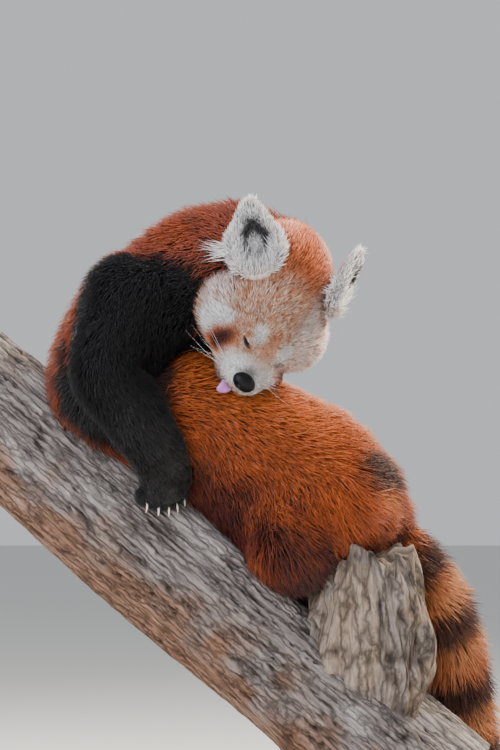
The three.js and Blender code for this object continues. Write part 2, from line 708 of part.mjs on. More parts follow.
const torsoNames = ["rump", "flank", "loin", "chest", "shoulders", "neck"];
const torsoSplits = [0, 2, 4, 6, 7, 8.6, 11];
torsoNames.forEach((name, i) => {
  const made = lengthOf(torso, torsoSplits[i], torsoSplits[i + 1], 23);
  const others = ["perch_trunk", "perch_stub", headNode, "ear_right", "ear_left", ...paws];
  const nearby = kept.filter((entry) => entry.torso && entry.torso < i).map((entry) => entry.name);
  addNode(name, coat.rust, made.solid, made.grown, [...others, ...nearby]);
  kept[kept.length - 1].torso = i + 1;
});
[0, 2, 4, 6, 9].forEach((from, i, all) => {
  if (i === all.length - 1) return;
  const made = lengthOf(tail, from, all[i + 1], 19.5);
  addNode(`tail_${i + 1}`, i % 2 ? coat.ringDark : coat.ringPale, made.solid, made.grown, ["perch_trunk", "perch_stub", "rump", ...paws]);
});

export default group;
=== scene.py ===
# A life-size red panda that licks its flank on a leaning trunk, on a display stand.
# Skin, fur tufts, face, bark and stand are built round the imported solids, in millimetres turned to metres.
import math

import bpy
import numpy as np
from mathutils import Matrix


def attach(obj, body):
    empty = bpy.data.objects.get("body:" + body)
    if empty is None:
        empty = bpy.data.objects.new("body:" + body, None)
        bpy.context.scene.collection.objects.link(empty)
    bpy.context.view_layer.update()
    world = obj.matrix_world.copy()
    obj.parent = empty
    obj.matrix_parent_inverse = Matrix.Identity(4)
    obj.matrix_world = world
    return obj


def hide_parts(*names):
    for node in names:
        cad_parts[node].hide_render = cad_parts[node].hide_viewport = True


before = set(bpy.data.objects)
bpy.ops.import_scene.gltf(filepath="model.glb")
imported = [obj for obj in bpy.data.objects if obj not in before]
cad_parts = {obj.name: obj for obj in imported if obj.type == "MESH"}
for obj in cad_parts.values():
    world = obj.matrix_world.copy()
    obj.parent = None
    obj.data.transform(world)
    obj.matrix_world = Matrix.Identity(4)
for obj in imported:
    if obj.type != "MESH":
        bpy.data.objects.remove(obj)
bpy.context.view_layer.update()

import openvdb
from mathutils import Vector

mm = 0.001
rng = np.random.default_rng(11)


def say(text):
    print("scene:", text)


def vec(*xyz):
    return np.array(xyz, dtype=float)


def unit(a):
    a = np.asarray(a, dtype=float)
    return a / np.maximum(np.linalg.norm(a, axis=-1, keepdims=True), 1e-9)


def mix(a, b, share):
    return a + (b - a) * share


def ramp(low, high, x):
    # A smooth step from 0 at low to 1 at high.
    t = np.clip((np.asarray(x, dtype=float) - low) / (high - low), 0, 1)
    return t * t * (3 - 2 * t)


def linear(hexColour):
    # sRGB hex to linear light.
    parts = np.array([int(hexColour[i:i + 2], 16) for i in (1, 3, 5)]) / 255
    return np.where(parts <= 0.04045, parts / 12.92, ((parts + 0.055) / 1.055) ** 2.4)


# Smooth value noise on a lattice of random numbers, from -1 to 1.
latticeSide = 32
lattice = np.random.default_rng(5).random((latticeSide, latticeSide, latticeSide)) * 2 - 1
layerStep = 7.31  # cells between one layer of noise and the next, so that layers don't repeat each other


def noise(points, scale, layerNumber=0):
    q = np.asarray(points) / scale + layerNumber * layerStep
    cell = np.floor(q).astype(int)
    f = q - cell
    f = f * f * (3 - 2 * f)
    total = 0
    for dx in (0, 1):
        for dy in (0, 1):
            for dz in (0, 1):
                share = (f[..., 0] if dx else 1 - f[..., 0]) * (f[..., 1] if dy else 1 - f[..., 1])
                share = share * (f[..., 2] if dz else 1 - f[..., 2])
                i, j, k = ((cell[..., n] + step) % latticeSide for n, step in enumerate((dx, dy, dz)))
                total = total + share * lattice[i, j, k]
    return total


def noiseVector(points, scale, layerNumber):
    return np.stack([noise(points, scale, layerNumber + k) for k in range(3)], -1)


# The body's form: smooth limbs through stations of place and outer radius. For each station, coat is the
# depth of the fur under that radius, and blend is how softly the limb runs into the ones before it.
limbs = {
    "torso": {
        "stations": [
            (122, 46, 414, 45), (98, 40, 430, 60), (66, 34, 444, 72), (25, 30, 465, 71),
            (-21, 26, 492, 68), (-64, 20, 506, 60), (-96, 4, 522, 55), (-81, -8, 572, 52),
            (-46, 0, 606, 51), (-18, 8, 628, 49), (17, 20, 636, 47), (48, 25, 628, 42),
        ],
        "coat": [15, 15, 14, 13, 12, 12, 13, 12, 12, 13, 13, 10],
        "blend": [14] * 12,
    },
    "foreRight": {
        "stations": [
            (-76, -30, 598, 39), (-95, -56, 540, 33), (-75, -60, 505, 31),
            (-57, -50, 476, 27), (-49, -36, 459, 24), (-46, -26, 445, 23),
        ],
        "coat": [10, 9, 7, 5.5, 4, 3],
        "blend": [16, 9, 4, 3, 3, 3],
    },
    "foreLeft": {
        "stations": [
            (-70, 46, 590, 34), (-100, 76, 542, 29), (-88, 82, 508, 27),
            (-76, 78, 482, 25), (-70, 71, 463, 23), (-66, 66, 447, 22),
        ],
        "coat": [10, 9, 7, 5.5, 4, 3],
        "blend": [16, 9, 4, 3, 3, 3],
    },
    "hindLeft": {
        "stations": [
            (94, 8, 420, 52), (62, -14, 393, 45), (90, 2, 369, 29), (134, 36, 326, 24), (114, 42, 322, 23),
        ],
        "coat": [15, 13, 8, 4, 3],
        "blend": [32, 26, 8, 3, 3],
    },
    "hindRight": {
        "stations": [
            (94, 66, 418, 48), (62, 92, 392, 38), (92, 94, 358, 28), (118, 88, 328, 23), (90, 86, 328, 23),
        ],
        "coat": [14, 12, 8, 4, 3],
        "blend": [22, 18, 8, 3, 3],
    },
    "tail": {
        "stations": [
            (130, 46, 410, 33), (158, 54, 375, 36), (181, 64, 340, 38), (197, 82, 298, 38),
            (208, 104, 252, 37), (216, 121, 205, 37), (221, 130, 160, 35), (224, 134, 115, 32),
            (226, 136, 78, 24), (227, 137, 50, 10),
        ],
        "coat": [16, 19, 21, 21, 21, 21, 20, 19, 15, 7],
        "blend": [16, 10, 6, 4, 4, 4, 4, 4, 4, 4],
    },
    "fold": {  # chest fur that fills the inside of the bend
        "stations": [(-78, 14, 548, 36), (-38, 22, 560, 32), (2, 26, 576, 28)],
        "coat": [12, 12, 12],
        "blend": [12, 12, 12],
    },
    "belly": {  # fur pressed against the bark under the flank
        "stations": [(-20, 28, 462, 42), (18, 24, 430, 44), (56, 8, 396, 42)],
        "coat": [12, 12, 12],
        "blend": [16, 16, 16],
    },
}
limbNames = list(limbs)
perSpan = 4  # points of a limb's line from one station to the next


def curvePoint(points, at):
    # The curve that the solids follow: Hermite spans with end points mirrored outwards.
    i = np.minimum(np.floor(at).astype(int), len(points) - 2)
    t = (at - i)[:, None]
    grown = np.vstack([2 * points[0] - points[1], points, 2 * points[-1] - points[-2]])
    p0, p1, p2, p3 = grown[i], grown[i + 1], grown[i + 2], grown[i + 3]
    m1, m2 = (p2 - p0) / 2, (p3 - p1) / 2
    return ((2 * t ** 3 - 3 * t ** 2 + 1) * p1 + (t ** 3 - 2 * t ** 2 + t) * m1
            + (3 * t ** 2 - 2 * t ** 3) * p2 + (t ** 3 - t ** 2) * m2)


for part in limbs.values():
    stations = np.array(part["stations"], dtype=float)
    at = np.arange((len(stations) - 1) * perSpan + 1) / perSpan
    first = np.minimum(np.floor(at).astype(int), len(stations) - 2)
    ease = at - first
    ease = ease * ease * (3 - 2 * ease)
    part["at"] = at
    part["line"] = curvePoint(stations[:, :3], at)
    for key, values in (("outer", stations[:, 3]), ("depth", part["coat"]), ("join", part["blend"])):
        values = np.array(values, dtype=float)
        part[key] = mix(values[first], values[first + 1], ease)


def isLimb(limb, *names):
    return np.isin(limb, [limbNames.index(name) for name in names])


def limbField(part, points):
    # Distance to a limb's skin, and the station of the nearest point on its line.
    best = np.full(points.shape[:-1], 1e4)
    station = np.zeros(points.shape[:-1])
    radii = part["outer"] - part["depth"]
    for i in range(len(radii) - 1):
        a, b = part["line"][i], part["line"][i + 1]
        span = b - a
        rest = points - a
        t = np.clip(rest @ span / (span @ span), 0, 1)
        reach = np.linalg.norm(rest - t[..., None] * span, axis=-1) - mix(radii[i], radii[i + 1], t)
        closer = reach < best
        best = np.where(closer, reach, best)
        station = np.where(closer, (i + t) / perSpan, station)
    return best, station


# The head's own frame: forward along the muzzle, side to the viewer's right, up through the crown.
headForward = unit(vec(-0.12, -0.62, -0.775))
headSide = unit(vec(0.68, 0.52, -0.52))
headUp = unit(np.cross(headForward, headSide))
headAxes = np.stack([headSide, headForward, headUp], 1)
noseTip = vec(20, -48, 523)


def onHead(side, forward, up):
    return noseTip + side * headSide + forward * headForward + up * headUp


def ballField(points, centre, radii, axes=headAxes):
    q = (points - centre) @ axes
    radii = np.asarray(radii, dtype=float)
    k0 = np.linalg.norm(q / radii, axis=-1)
    k1 = np.linalg.norm(q / radii ** 2, axis=-1)
    return np.where(k1 < 1e-9, -radii.min(), k0 * (k0 - 1) / np.maximum(k1, 1e-9))


def smoothJoin(a, b, reach):
    share = np.maximum(reach - np.abs(a - b), 0) / reach
    return np.minimum(a, b) - share * share * reach / 4


faceMiddle = vec(24, -42, 543)
eyes = [
    {"name": "eye_right", "at": vec(23, -54, 559.5), "slit": unit(vec(0.39, 0, -0.92))},
    {"name": "eye_left", "at": onHead(20, -38, 4), "slit": unit(vec(-0.25, -0.5, -0.83))},
]
eyeForm = {
    "radius": 7, "sunk": 0.62, "behindLid": 0.9,  # sunk is a share of the radius
    "lid": (9.6, 8.7, 9.4), "lidJoin": 5, "slit": (7.2, 6, 1.0), "slitOut": 8,
}
headForm = {
    "skull": {"centre": vec(51, -6, 617), "radii": (45, 47, 45)},
    "brow": {"centre": vec(36, -10, 574), "radii": (52, 44, 40)},
    "cheekRight": {"centre": vec(3, -26, 584), "radii": (27, 30, 26)},
    "cheekLeft": {"centre": vec(62, 8, 570), "radii": (27, 30, 27)},
}
snoutForm = {
    "bridge": {"centre": onHead(3, -25, -8), "radii": (27, 25, 18)},
    "chin": {"centre": onHead(0, -31, -21), "radii": (17, 22, 9)},
}
headJoins = {"head": 26, "snout": 6, "both": 14}  # how softly the balls run together
mouthForm = {
    "slab": {"centre": onHead(1, -27, -15.5), "radii": (31, 30, 1.4)},  # cuts the line of the lips
    "inner": {"centre": onHead(1, -29, -14), "radii": (21.5, 21, 20)},  # stays closed behind it
}


def headCoat(points):
    # Short on the face, long on the cheeks and the back of the head.
    return mix(1.3, 8.0, ramp(20, 55, np.linalg.norm(points - faceMiddle, axis=-1)))


def headOuter(points):
    d = 1e4
    for ball in headForm.values():
        d = smoothJoin(d, ballField(points, ball["centre"], ball["radii"]), headJoins["head"])
    bridge, chin = (ballField(points, ball["centre"], ball["radii"]) for ball in snoutForm.values())
    return smoothJoin(d, smoothJoin(bridge, chin, headJoins["snout"]), headJoins["both"])


def slopeOf(field, points, step=0.5):
    return unit(np.stack([field(points + e * step) - field(points - e * step) for e in np.eye(3)], -1))


def ontoHead(at, turns):
    # The place on the head's outer form that a point near it falls to.
    for turn in range(turns):
        at = at - slopeOf(headOuter, at[None])[0] * headOuter(at[None])[0]
    return at


for eye in eyes:
    at = ontoHead(eye["at"], 8)
    out = slopeOf(headOuter, at[None])[0]
    along = unit(eye["slit"] - out * (eye["slit"] @ out))
    eye["centre"] = at - out * eyeForm["radius"] * eyeForm["sunk"]
    eye.update(out=out, axes=np.stack([along, out, np.cross(along, out)], 1))


def headField(points):
    # The head's skin with its lids, their slits and the line of the mouth.
    d = headOuter(points) + headCoat(points)
    for eye in eyes:
        d = smoothJoin(d, ballField(points, eye["centre"], eyeForm["lid"], eye["axes"]), eyeForm["lidJoin"])
        slitCentre = eye["centre"] + eye["out"] * eyeForm["slitOut"]
        d = np.maximum(d, -ballField(points, slitCentre, eyeForm["slit"], eye["axes"]))
    slab, inner = (ballField(points, ball["centre"], ball["radii"]) for ball in mouthForm.values())
    return np.maximum(d, -np.maximum(slab, -inner))


# The trunk and its stub, as distances for the fur that lies on them.
trunkRadius = 56
trunkStart, trunkEnd = vec(-225, 30, 526), vec(190, 30, 165)
trunkLine = unit(trunkEnd - trunkStart)
trunkLong = float(np.linalg.norm(trunkEnd - trunkStart))
trunkUp = unit(-np.cross(vec(0, 1, 0), trunkLine))
trunkSide = vec(0, 1, 0)
stubRoot, stubLine, stubHeight, stubRadius = vec(130, 4, 262), unit(vec(-0.04, -0.12, 0.99)), 118, 50
stubFlat = 0.66  # its depth as a share of its width


def trunkReach(t, turn):
    bumps = 2.5 * np.sin(7 * t + 2 * turn) + 1.6 * np.sin(5 * turn + 9 * t) + 1.3 * np.sin(11 * turn - 6 * t)
    return trunkRadius * (0.94 + 0.13 * t) + bumps


def trunkField(points):
    rest = points - trunkStart
    along = rest @ trunkLine
    across, up = rest @ trunkSide, rest @ trunkUp
    turn = np.arctan2(up, across)
    reach = np.hypot(across, up) - trunkReach(np.clip(along / trunkLong, 0, 1), turn)
    return np.maximum(reach, np.maximum(-along, along - trunkLong))


def woodField(points):
    rest = points - stubRoot
    along = rest @ stubLine
    side = unit(np.cross(vec(0, 1, 0), stubLine))
    front = np.cross(stubLine, side)
    off = np.hypot(rest @ side, (rest @ front) / stubFlat) - stubRadius
    stub = np.maximum(off * stubFlat, np.maximum(-along, along - stubHeight))
    return np.minimum(trunkField(points), stub)


# The ears: a leaf hollowed on its front, in its own frame.
ears = {
    "ear_right": {
        "root": vec(33, -42, 612), "along": vec(-0.12, -0.12, 0.98), "front": vec(-0.15, -0.98, -0.1),
        "long": 66, "wide": 52, "thick": 13,
    },
    "ear_left": {
        "root": vec(94, -6, 584), "along": vec(0.42, 0.05, 0.9), "front": vec(0.88, -0.16, -0.42),
        "long": 58, "wide": 46, "thick": 10,
    },
}
earForm = {
    "coat": 3.0, "half": 0.55, "taper": 0.55, "join": 8,  # half and taper are shares of the length
    "cupWide": 0.3, "cupDeep": 15, "cupLong": 0.33,
}
for ear in ears.values():
    along = unit(ear["along"])
    across = unit(np.cross(along, unit(ear["front"])))
    ear["axes"] = np.stack([across, unit(np.cross(across, along)), along], 1)
    ear["middle"] = ear["root"] + along * ear["long"] * 0.45


def earField(ear, points):
    long, wide, thick = ear["long"], ear["wide"], ear["thick"]
    q = (points - ear["middle"]) @ ear["axes"]
    # Its sides draw in towards the tip.
    q[..., 0] *= 1 + earForm["taper"] * ramp(-4, long * earForm["half"], q[..., 2])
    points = q @ ear["axes"].T + ear["middle"]
    radii = vec(wide / 2, thick, long * earForm["half"]) - earForm["coat"]
    leaf = ballField(points, ear["middle"], radii, ear["axes"])
    cupAt = ear["middle"] + ear["axes"] @ vec(0, thick, -2)
    cupRadii = (wide * earForm["cupWide"], earForm["cupDeep"], long * earForm["cupLong"])
    return -smoothJoin(-leaf, ballField(points, cupAt, cupRadii, ear["axes"]), earForm["join"])


# Five toes before each paw, spread over the bark.
paws = {
    "foreRight": vec(0.35, -0.3, -0.9), "foreLeft": vec(0.3, 0.5, -0.8),
    "hindLeft": vec(-0.75, -0.1, 0.66), "hindRight": vec(-0.75, 0.1, 0.4),
}
toeForm = {
    "apart": 8.6, "ahead": 0.62, "arch": 1.6, "fan": 0.12, "clear": 10, "radii": (7.2, 7.2, 7.2), "join": 3,
}
toes = []
for name, heading in paws.items():
    x, y, z, radius = limbs[name]["stations"][-1]
    end = vec(x, y, z)
    out = end - trunkStart
    out = out - trunkLine * (out @ trunkLine)
    lift = trunkRadius + toeForm["clear"] - np.linalg.norm(out)
    out = unit(out)
    ahead = unit(heading - out * (heading @ out))
    across = np.cross(ahead, out)
    for i in range(-2, 3):
        centre = end + across * i * toeForm["apart"] + out * lift
        centre = centre + ahead * (radius * toeForm["ahead"] - i * i * toeForm["arch"])
        fanned = unit(ahead + across * i * toeForm["fan"])
        toes.append({"limb": name, "centre": centre, "ahead": fanned, "out": out})


# The skin is drawn from grids of distances.
farOff = 99.0


def gridOf(low, high, cell):
    axes = [np.arange(low[k], high[k] + cell, cell) for k in range(3)]
    return axes, np.full([len(a) for a in axes], farOff)


def fill(grid, low, high, join):
    # Joins a form into the part of a grid that lies in a box.
    axes, values = grid
    ends = [(int(np.searchsorted(a, l)), int(np.searchsorted(a, h))) for a, l, h in zip(axes, low, high)]
    span = [slice(max(0, first), last) for first, last in ends]
    points = np.stack(np.meshgrid(*[a[k] for a, k in zip(axes, span)], indexing="ij"), -1)
    values[tuple(span)] = join(values[tuple(span)], points)


def polygonise(grid, cell):
    axes, values = grid
    field = openvdb.FloatGrid(farOff)
    field.copyFromArray(values)
    points, triangles, quads = field.convertToPolygons(isovalue=0.0, adaptivity=0.0)
    faces = np.concatenate([triangles.reshape(-1, 3), quads[:, [0, 1, 2]], quads[:, [0, 2, 3]]])
    return points.astype(float) * cell + vec(axes[0][0], axes[1][0], axes[2][0]), faces.astype(np.int64)


bodyCell = 2.8
body = gridOf((-165, -115, 28), (275, 185, 700), bodyCell)
for name, part in limbs.items():
    margin = (part["outer"] + 18)[:, None]
    low, high = (part["line"] - margin).min(0), (part["line"] + margin).max(0)

    def joinLimb(before, points, part=part):
        d, station = limbField(part, points)
        return smoothJoin(before, d, np.interp(station, part["at"], part["join"]))
    fill(body, low, high, joinLimb)
for toe in toes:
    def joinToe(before, points):
        ball = ballField(points, toe["centre"], toeForm["radii"], np.eye(3))
        return smoothJoin(before, ball, toeForm["join"])
    fill(body, toe["centre"] - 14, toe["centre"] + 14, joinToe)
headCell = 1.3
head = gridOf((-40, -95, 495), (125, 75, 680), headCell)
fill(head, (-40, -95, 495), (126, 76, 681), lambda before, points: headField(points))
meshes = [("body", *polygonise(body, bodyCell)), ("head", *polygonise(head, headCell))]
for name, ear in ears.items():
    low, high = ear["middle"] - 42, ear["middle"] + 42
    leaf = gridOf(low, high, headCell)
    fill(leaf, low, high, lambda before, points: earField(ear, points))
    meshes.append((name, *polygonise(leaf, headCell)))
say("skin of " + ", ".join(f"{name} {len(faces)}" for name, points, faces in meshes))


def vertexNormals(points, faces):
    # Normals of a mesh's points and the areas of its faces.
    a, b, c = points[faces[:, 0]], points[faces[:, 1]], points[faces[:, 2]]
    cross = np.cross(b - a, c - a)
    total = [sum(np.bincount(faces[:, i], cross[:, k], len(points)) for i in range(3)) for k in range(3)]
    return unit(np.stack(total, 1)), np.linalg.norm(cross, axis=1) / 2


def nearestLimb(points, chunk=40000):
    # Index of the nearest limb and the station on it.
    which, station = [], []
    for start in range(0, len(points), chunk):
        some = points[start:start + chunk]
        found = [limbField(part, some) for part in limbs.values()]
        pick = np.stack([d for d, at in found]).argmin(0)
        which.append(pick)
        station.append(np.stack([at for d, at in found])[pick, np.arange(len(some))])
    return np.concatenate(which), np.concatenate(station)


def lineAt(name, station):
    # Place on a limb's line and its direction there.
    part = limbs[name]

    def pointAt(at):
        at = np.clip(at, 0, part["at"][-1])
        return np.stack([np.interp(at, part["at"], part["line"][:, k]) for k in range(3)], 1)

    station = np.clip(station, 0, part["at"][-1])
    return pointAt(station), unit(pointAt(station + 0.2) - pointAt(station - 0.2))


# Colours of the coat.
colours = {
    "rust": "#BC5A22", "bright": "#DC7C34", "maroon": "#571D14", "nape": "#9A4A34", "black": "#0E0B0D",
    "white": "#F4F0EC", "cream": "#ECCFB8", "forehead": "#C67C4C", "tear": "#3C150C", "mauve": "#9A7468",
    "pale": "#D6925F", "dark": "#421914", "blush": "#F1DFD8", "grey": "#55504F", "tip": "#120C0C",
}
colours = {name: linear(value) for name, value in colours.items()}


def layer(under, over, share):
    return mix(under, colours[over] if isinstance(over, str) else over, np.asarray(share)[:, None])


bendMiddle = vec(-40, 0, 558)  # the body curls round this place
rumpPatches = {
    "black": {"centre": vec(139, 0, 444), "reach": vec(27, 46, 24), "share": 0.85},
    "bright": {"centre": vec(136, 0, 424), "reach": vec(15, 40, 9), "share": 0.8},
}
tailRings = {"often": 1.55, "first": 0.95, "tipFrom": 7.6, "tipTo": 8.2}  # in half waves for each station


def bodyColour(p, n, limb, station):
    # The markings of body, legs and tail, by the limb, the station on it and the way the skin faces.
    blur = noise(p, 14) * 0.5 + noise(p, 5, 1) * 0.35
    colour = np.tile(colours["rust"], (len(p), 1))
    station = np.where(isLimb(limb, "belly"), 2.0, station)
    torso, tail = isLimb(limb, "torso", "belly"), isLimb(limb, "tail")
    # The rear half: brighter orange where the fur faces up, a painted highlight; maroon towards the bark and
    # where it faces down, partly the darker fur of the underside and partly painted shade.
    rear = 1 - ramp(3.6, 5.2, station)
    up = n[:, 2] * 0.9 + (p[:, 2] - 470) / 150
    colour = layer(colour, "bright", torso * rear * ramp(0.0, 1.0, up + blur * 0.4) * 0.75)
    colour = layer(colour, "maroon", torso * rear * ramp(0.0, 0.85, -up + blur * 0.35))
    # The back and the nape are red-brown on the outside of the bend, the chest black on its inside.
    outward = unit(p - bendMiddle) * vec(1, 0, 1)
    back = (n * (outward * 0.75 + vec(0, 0.75, 0))).sum(1)
    nape = mix(colours["nape"], colours["rust"], ramp(-0.5, 0.7, noise(p, 22, 2))[:, None] * 0.5)
    colour = layer(colour, nape, torso * ramp(4.2, 5.4, station))
    chest = torso * ramp(4.3, 5.6, station) * (1 - ramp(10.2, 11.2, station))
    edge = back + blur * 0.22 + 0.9 * ramp(7.4, 9.2, station)
    colour = layer(colour, "black", chest * (1 - ramp(0.0, 0.34, edge)))
    # Black legs: the near foreleg with a painted grey sheen, the thighs turning from rust through maroon.
    colour = layer(colour, "black", isLimb(limb, "foreRight", "foreLeft", "fold") * 1.0)
    paintedSheen = isLimb(limb, "foreRight") * ramp(1.2, 4.6, station)
    colour = layer(colour, "grey", paintedSheen * ramp(-0.2, 0.6, noise(p, 6, 12)) * 0.45)
    thigh = layer(np.tile(colours["rust"], (len(p), 1)), "maroon", ramp(0.2, 1.4, station + blur * 0.7))
    thigh = layer(thigh, "black", ramp(1.0, 2.2, station + blur * 0.7))
    colour = np.where(isLimb(limb, "hindLeft", "hindRight")[:, None], thigh, colour)
    belly = (p[:, 2] < 470) & torso & (station < 4.4)
    colour = layer(colour, "black", belly * ramp(0.55, 1.0, -n[:, 2] + blur * 0.2) * 0.9)
    for name, patch in rumpPatches.items():
        k = np.linalg.norm((p - patch["centre"]) / patch["reach"], axis=1) + blur * 0.25
        colour = layer(colour, name, (1 - ramp(0.7, 1.15, k)) * patch["share"])
    # Rings of the tail: dark bands between wider pale orange ones, dark at the tip.
    wave = np.sin((station * tailRings["often"] - tailRings["first"] + blur * 0.1) * math.pi)
    ring = mix(colours["pale"], colours["rust"], ramp(-0.6, 0.9, noise(p, 12, 3))[:, None] * 0.8)
    ring = layer(ring, "dark", ramp(-0.25, 0.5, wave) * 0.95)
    ring = layer(ring, "tip", ramp(tailRings["tipFrom"], tailRings["tipTo"], station + blur * 0.2))
    return layer(colour, ring, tail * ramp(0.2, 0.9, station))


def headColour(p):
    # The mask, in the head's frame. Each spot has a middle and a reach to the side, forward and up, and
    # lies on both sides.
    q = (p - noseTip) @ headAxes
    side, forward, up = np.abs(q[:, 0]), q[:, 1], q[:, 2]
    blur = noise(p, 8, 4) * 0.5 + noise(p, 3.2, 5) * 0.4

    def spot(middle, reach, soft=0.45):
        off = (np.stack([side, forward, up], 1) - vec(*middle)) / vec(*reach)
        return 1 - ramp(1 - soft, 1 + soft, np.sqrt((off ** 2).sum(1)) + blur * 0.18)

    flecks = 0.6 * noise(p, 2.6, 6) + 0.9 * noise(p, 1.2, 9)
    colour = np.tile(colours["forehead"], (len(p), 1))
    face = ramp(-92, -66, forward + blur * 6)
    colour = layer(colour, "cream", face * ramp(-0.6, 0.3, flecks) * 0.85)
    colour = layer(colour, "rust", (1 - face) * 0.8)  # the crown
    colour = layer(colour, "mauve", ramp(36, 54, side) * ramp(-92, -62, forward) * 0.3)
    colour = layer(colour, "blush", spot((56, -60, 14), (15, 22, 17)) * ramp(-0.7, 0.1, flecks) * 0.9)
    colour = layer(colour, "nape", ramp(-88, -112, forward) * ramp(60, 10, up) * 0.8)
    colour = layer(colour, "white", spot((48, -39, 6), (15, 13, 17), 0.2))  # cheek
    # The far side is paler: its long pale fringe lies over the orange.
    fringe = ramp(6, 24, q[:, 0] + blur * 4) * ramp(-104, -72, forward) * ramp(-18, 2, up)
    colour = layer(colour, "blush", fringe * ramp(-1.0, -0.1, flecks) * 0.92)
    colour = layer(colour, "black", ramp(-20, -34, up + forward * 0.25 + blur * 4))  # throat
    colour = layer(colour, "rust", spot((36, -26, 0), (14, 11, 20)) * 0.95)
    colour = layer(colour, "tear", spot((37, -25.5, 2), (8.5, 6, 20)) * 0.95)  # stripe from eye to mouth
    colour = layer(colour, "white", spot((15, -32, 27), (6.5, 8, 9)) * 0.95)  # brow
    colour = layer(colour, "forehead", spot((0, -34, 26), (5, 16, 10)) * 0.55)
    colour = layer(colour, "white", spot((9, -14, -2), (17, 17, 15)))  # muzzle
    colour = layer(colour, "tip", spot((0, -7, 4), (9, 7.5, 7.5), 0.7) * 0.75)  # over the nose
    colour = layer(colour, "tip", spot((3, -18, -17), (14, 14, 4.5)) * 0.85)  # lips
    return layer(colour, "tip", spot((20, -26, 19), (6, 5, 2.2)) * 0.6)  # lid


def earColour(ear, p):
    # White all round and in the cup's lower part, dark in the cup's depth and on the back.
    q = (p - ear["middle"]) @ ear["axes"]
    across, ahead, along = q[:, 0] / (ear["wide"] / 2), q[:, 1], q[:, 2] / (ear["long"] * earForm["half"])
    rim = np.sqrt(across ** 2 + along ** 2) + noise(p, 4, 7) * 0.12
    hollow = np.sqrt(((across - 0.06) / 0.52) ** 2 + ((along - 0.1) / 0.52) ** 2) + noise(p, 4, 8) * 0.14
    colour = np.tile(colours["white"], (len(p), 1))
    colour = layer(colour, "tip", (1 - ramp(0.75, 1.1, hollow)) * ramp(-3, 1, ahead) * 0.95)
    colour = layer(colour, "cream", ramp(-0.5, -0.85, along) * 0.6)
    return layer(colour, "nape", (1 - ramp(0.62, 0.85, rim)) * (1 - ramp(-8, -3, ahead)))


# Objects and materials.
def linked(name, data):
    made = bpy.data.objects.new(name, data)
    bpy.context.scene.collection.objects.link(made)
    return made


def addMesh(name, points, faces, material, colour=None, uv=None, smooth=True, replaced=(), grain=None):
    # points in mm; colour and grain have a row for each point, uv a pair.
    mesh = bpy.data.meshes.new(name)
    points, faces = np.asarray(points, dtype=np.float32) * mm, np.asarray(faces, dtype=np.int32)
    sides = faces.shape[1]
    mesh.vertices.add(len(points))
    mesh.vertices.foreach_set("co", points.ravel())
    mesh.loops.add(faces.size)
    mesh.loops.foreach_set("vertex_index", faces.ravel())
    mesh.polygons.add(len(faces))
    mesh.polygons.foreach_set("loop_start", np.arange(0, faces.size, sides, dtype=np.int32))
    mesh.polygons.foreach_set("use_smooth", np.full(len(faces), smooth))
    mesh.update(calc_edges=True)
    if colour is not None:
        shades = np.hstack([colour, np.ones((len(colour), 1))]).astype(np.float32)
        mesh.color_attributes.new("coat", "FLOAT_COLOR", "POINT").data.foreach_set("color", shades.ravel())
    if grain is not None:
        places = np.asarray(grain, dtype=np.float32).ravel() * mm
        mesh.attributes.new("grain", "FLOAT_VECTOR", "POINT").data.foreach_set("vector", places)
    if uv is not None:
        corners = uv[faces.ravel()].astype(np.float32)
        mesh.uv_layers.new(name="OFBake").data.foreach_set("uv", corners.ravel())
    mesh.materials.append(material)
    made = linked(name, mesh)
    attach(made, "root")
    if replaced:
        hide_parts(*replaced)
    return made


def newMaterial(name, sockets):
    made = bpy.data.materials.new(name)
    made.use_nodes = True
    tree = made.node_tree
    surface = tree.nodes["Principled BSDF"]
    for key, value in sockets.items():
        surface.inputs[key].default_value = value
    return made, tree, surface


def addNode(tree, kind, settings=None, links=None):
    made = tree.nodes.new(kind)
    for key, value in (settings or {}).items():
        if key in made.inputs:
            made.inputs[key].default_value = value
        else:
            setattr(made, key, value)
    for key, source in (links or {}).items():
        tree.links.new(source, made.inputs[key])
    return made


def rgba(hexColour):
    return (*linear(hexColour), 1)


# Dry guard hair: soft broad shine, and a little light through it for the bright rim.
furMaterial, tree, surface = newMaterial("fur", {
    "Roughness": 0.48, "IOR": 1.5, "Specular IOR Level": 0.32, "Sheen Weight": 0.12, "Sheen Roughness": 0.4,
})
paint = addNode(tree, "ShaderNodeAttribute", {"attribute_name": "coat"})
tree.links.new(paint.outputs["Color"], surface.inputs["Base Color"])
through = addNode(tree, "ShaderNodeBsdfTranslucent", {}, {"Color": paint.outputs["Color"]})
both = addNode(tree, "ShaderNodeMixShader", {"Fac": 0.3})
tree.links.new(surface.outputs[0], both.inputs[1])
tree.links.new(through.outputs[0], both.inputs[2])
tree.links.new(both.outputs[0], tree.nodes["Material Output"].inputs["Surface"])

# Underfur: matt and close, seen only between the tufts, with a fine nap.
skinMaterial, tree, surface = newMaterial("underfur", {"Roughness": 0.85, "IOR": 1.45})
paint = addNode(tree, "ShaderNodeAttribute", {"attribute_name": "coat"})
tree.links.new(paint.outputs["Color"], surface.inputs["Base Color"])
place = addNode(tree, "ShaderNodeTexCoord")
nap = addNode(tree, "ShaderNodeTexNoise", {"Scale": 900, "Detail": 3}, {"Vector": place.outputs["Object"]})
napRelief = {"Strength": 0.5, "Distance": 0.8 * mm}
relief = addNode(tree, "ShaderNodeBump", napRelief, {"Height": nap.outputs["Fac"]})
tree.links.new(relief.outputs["Normal"], surface.inputs["Normal"])

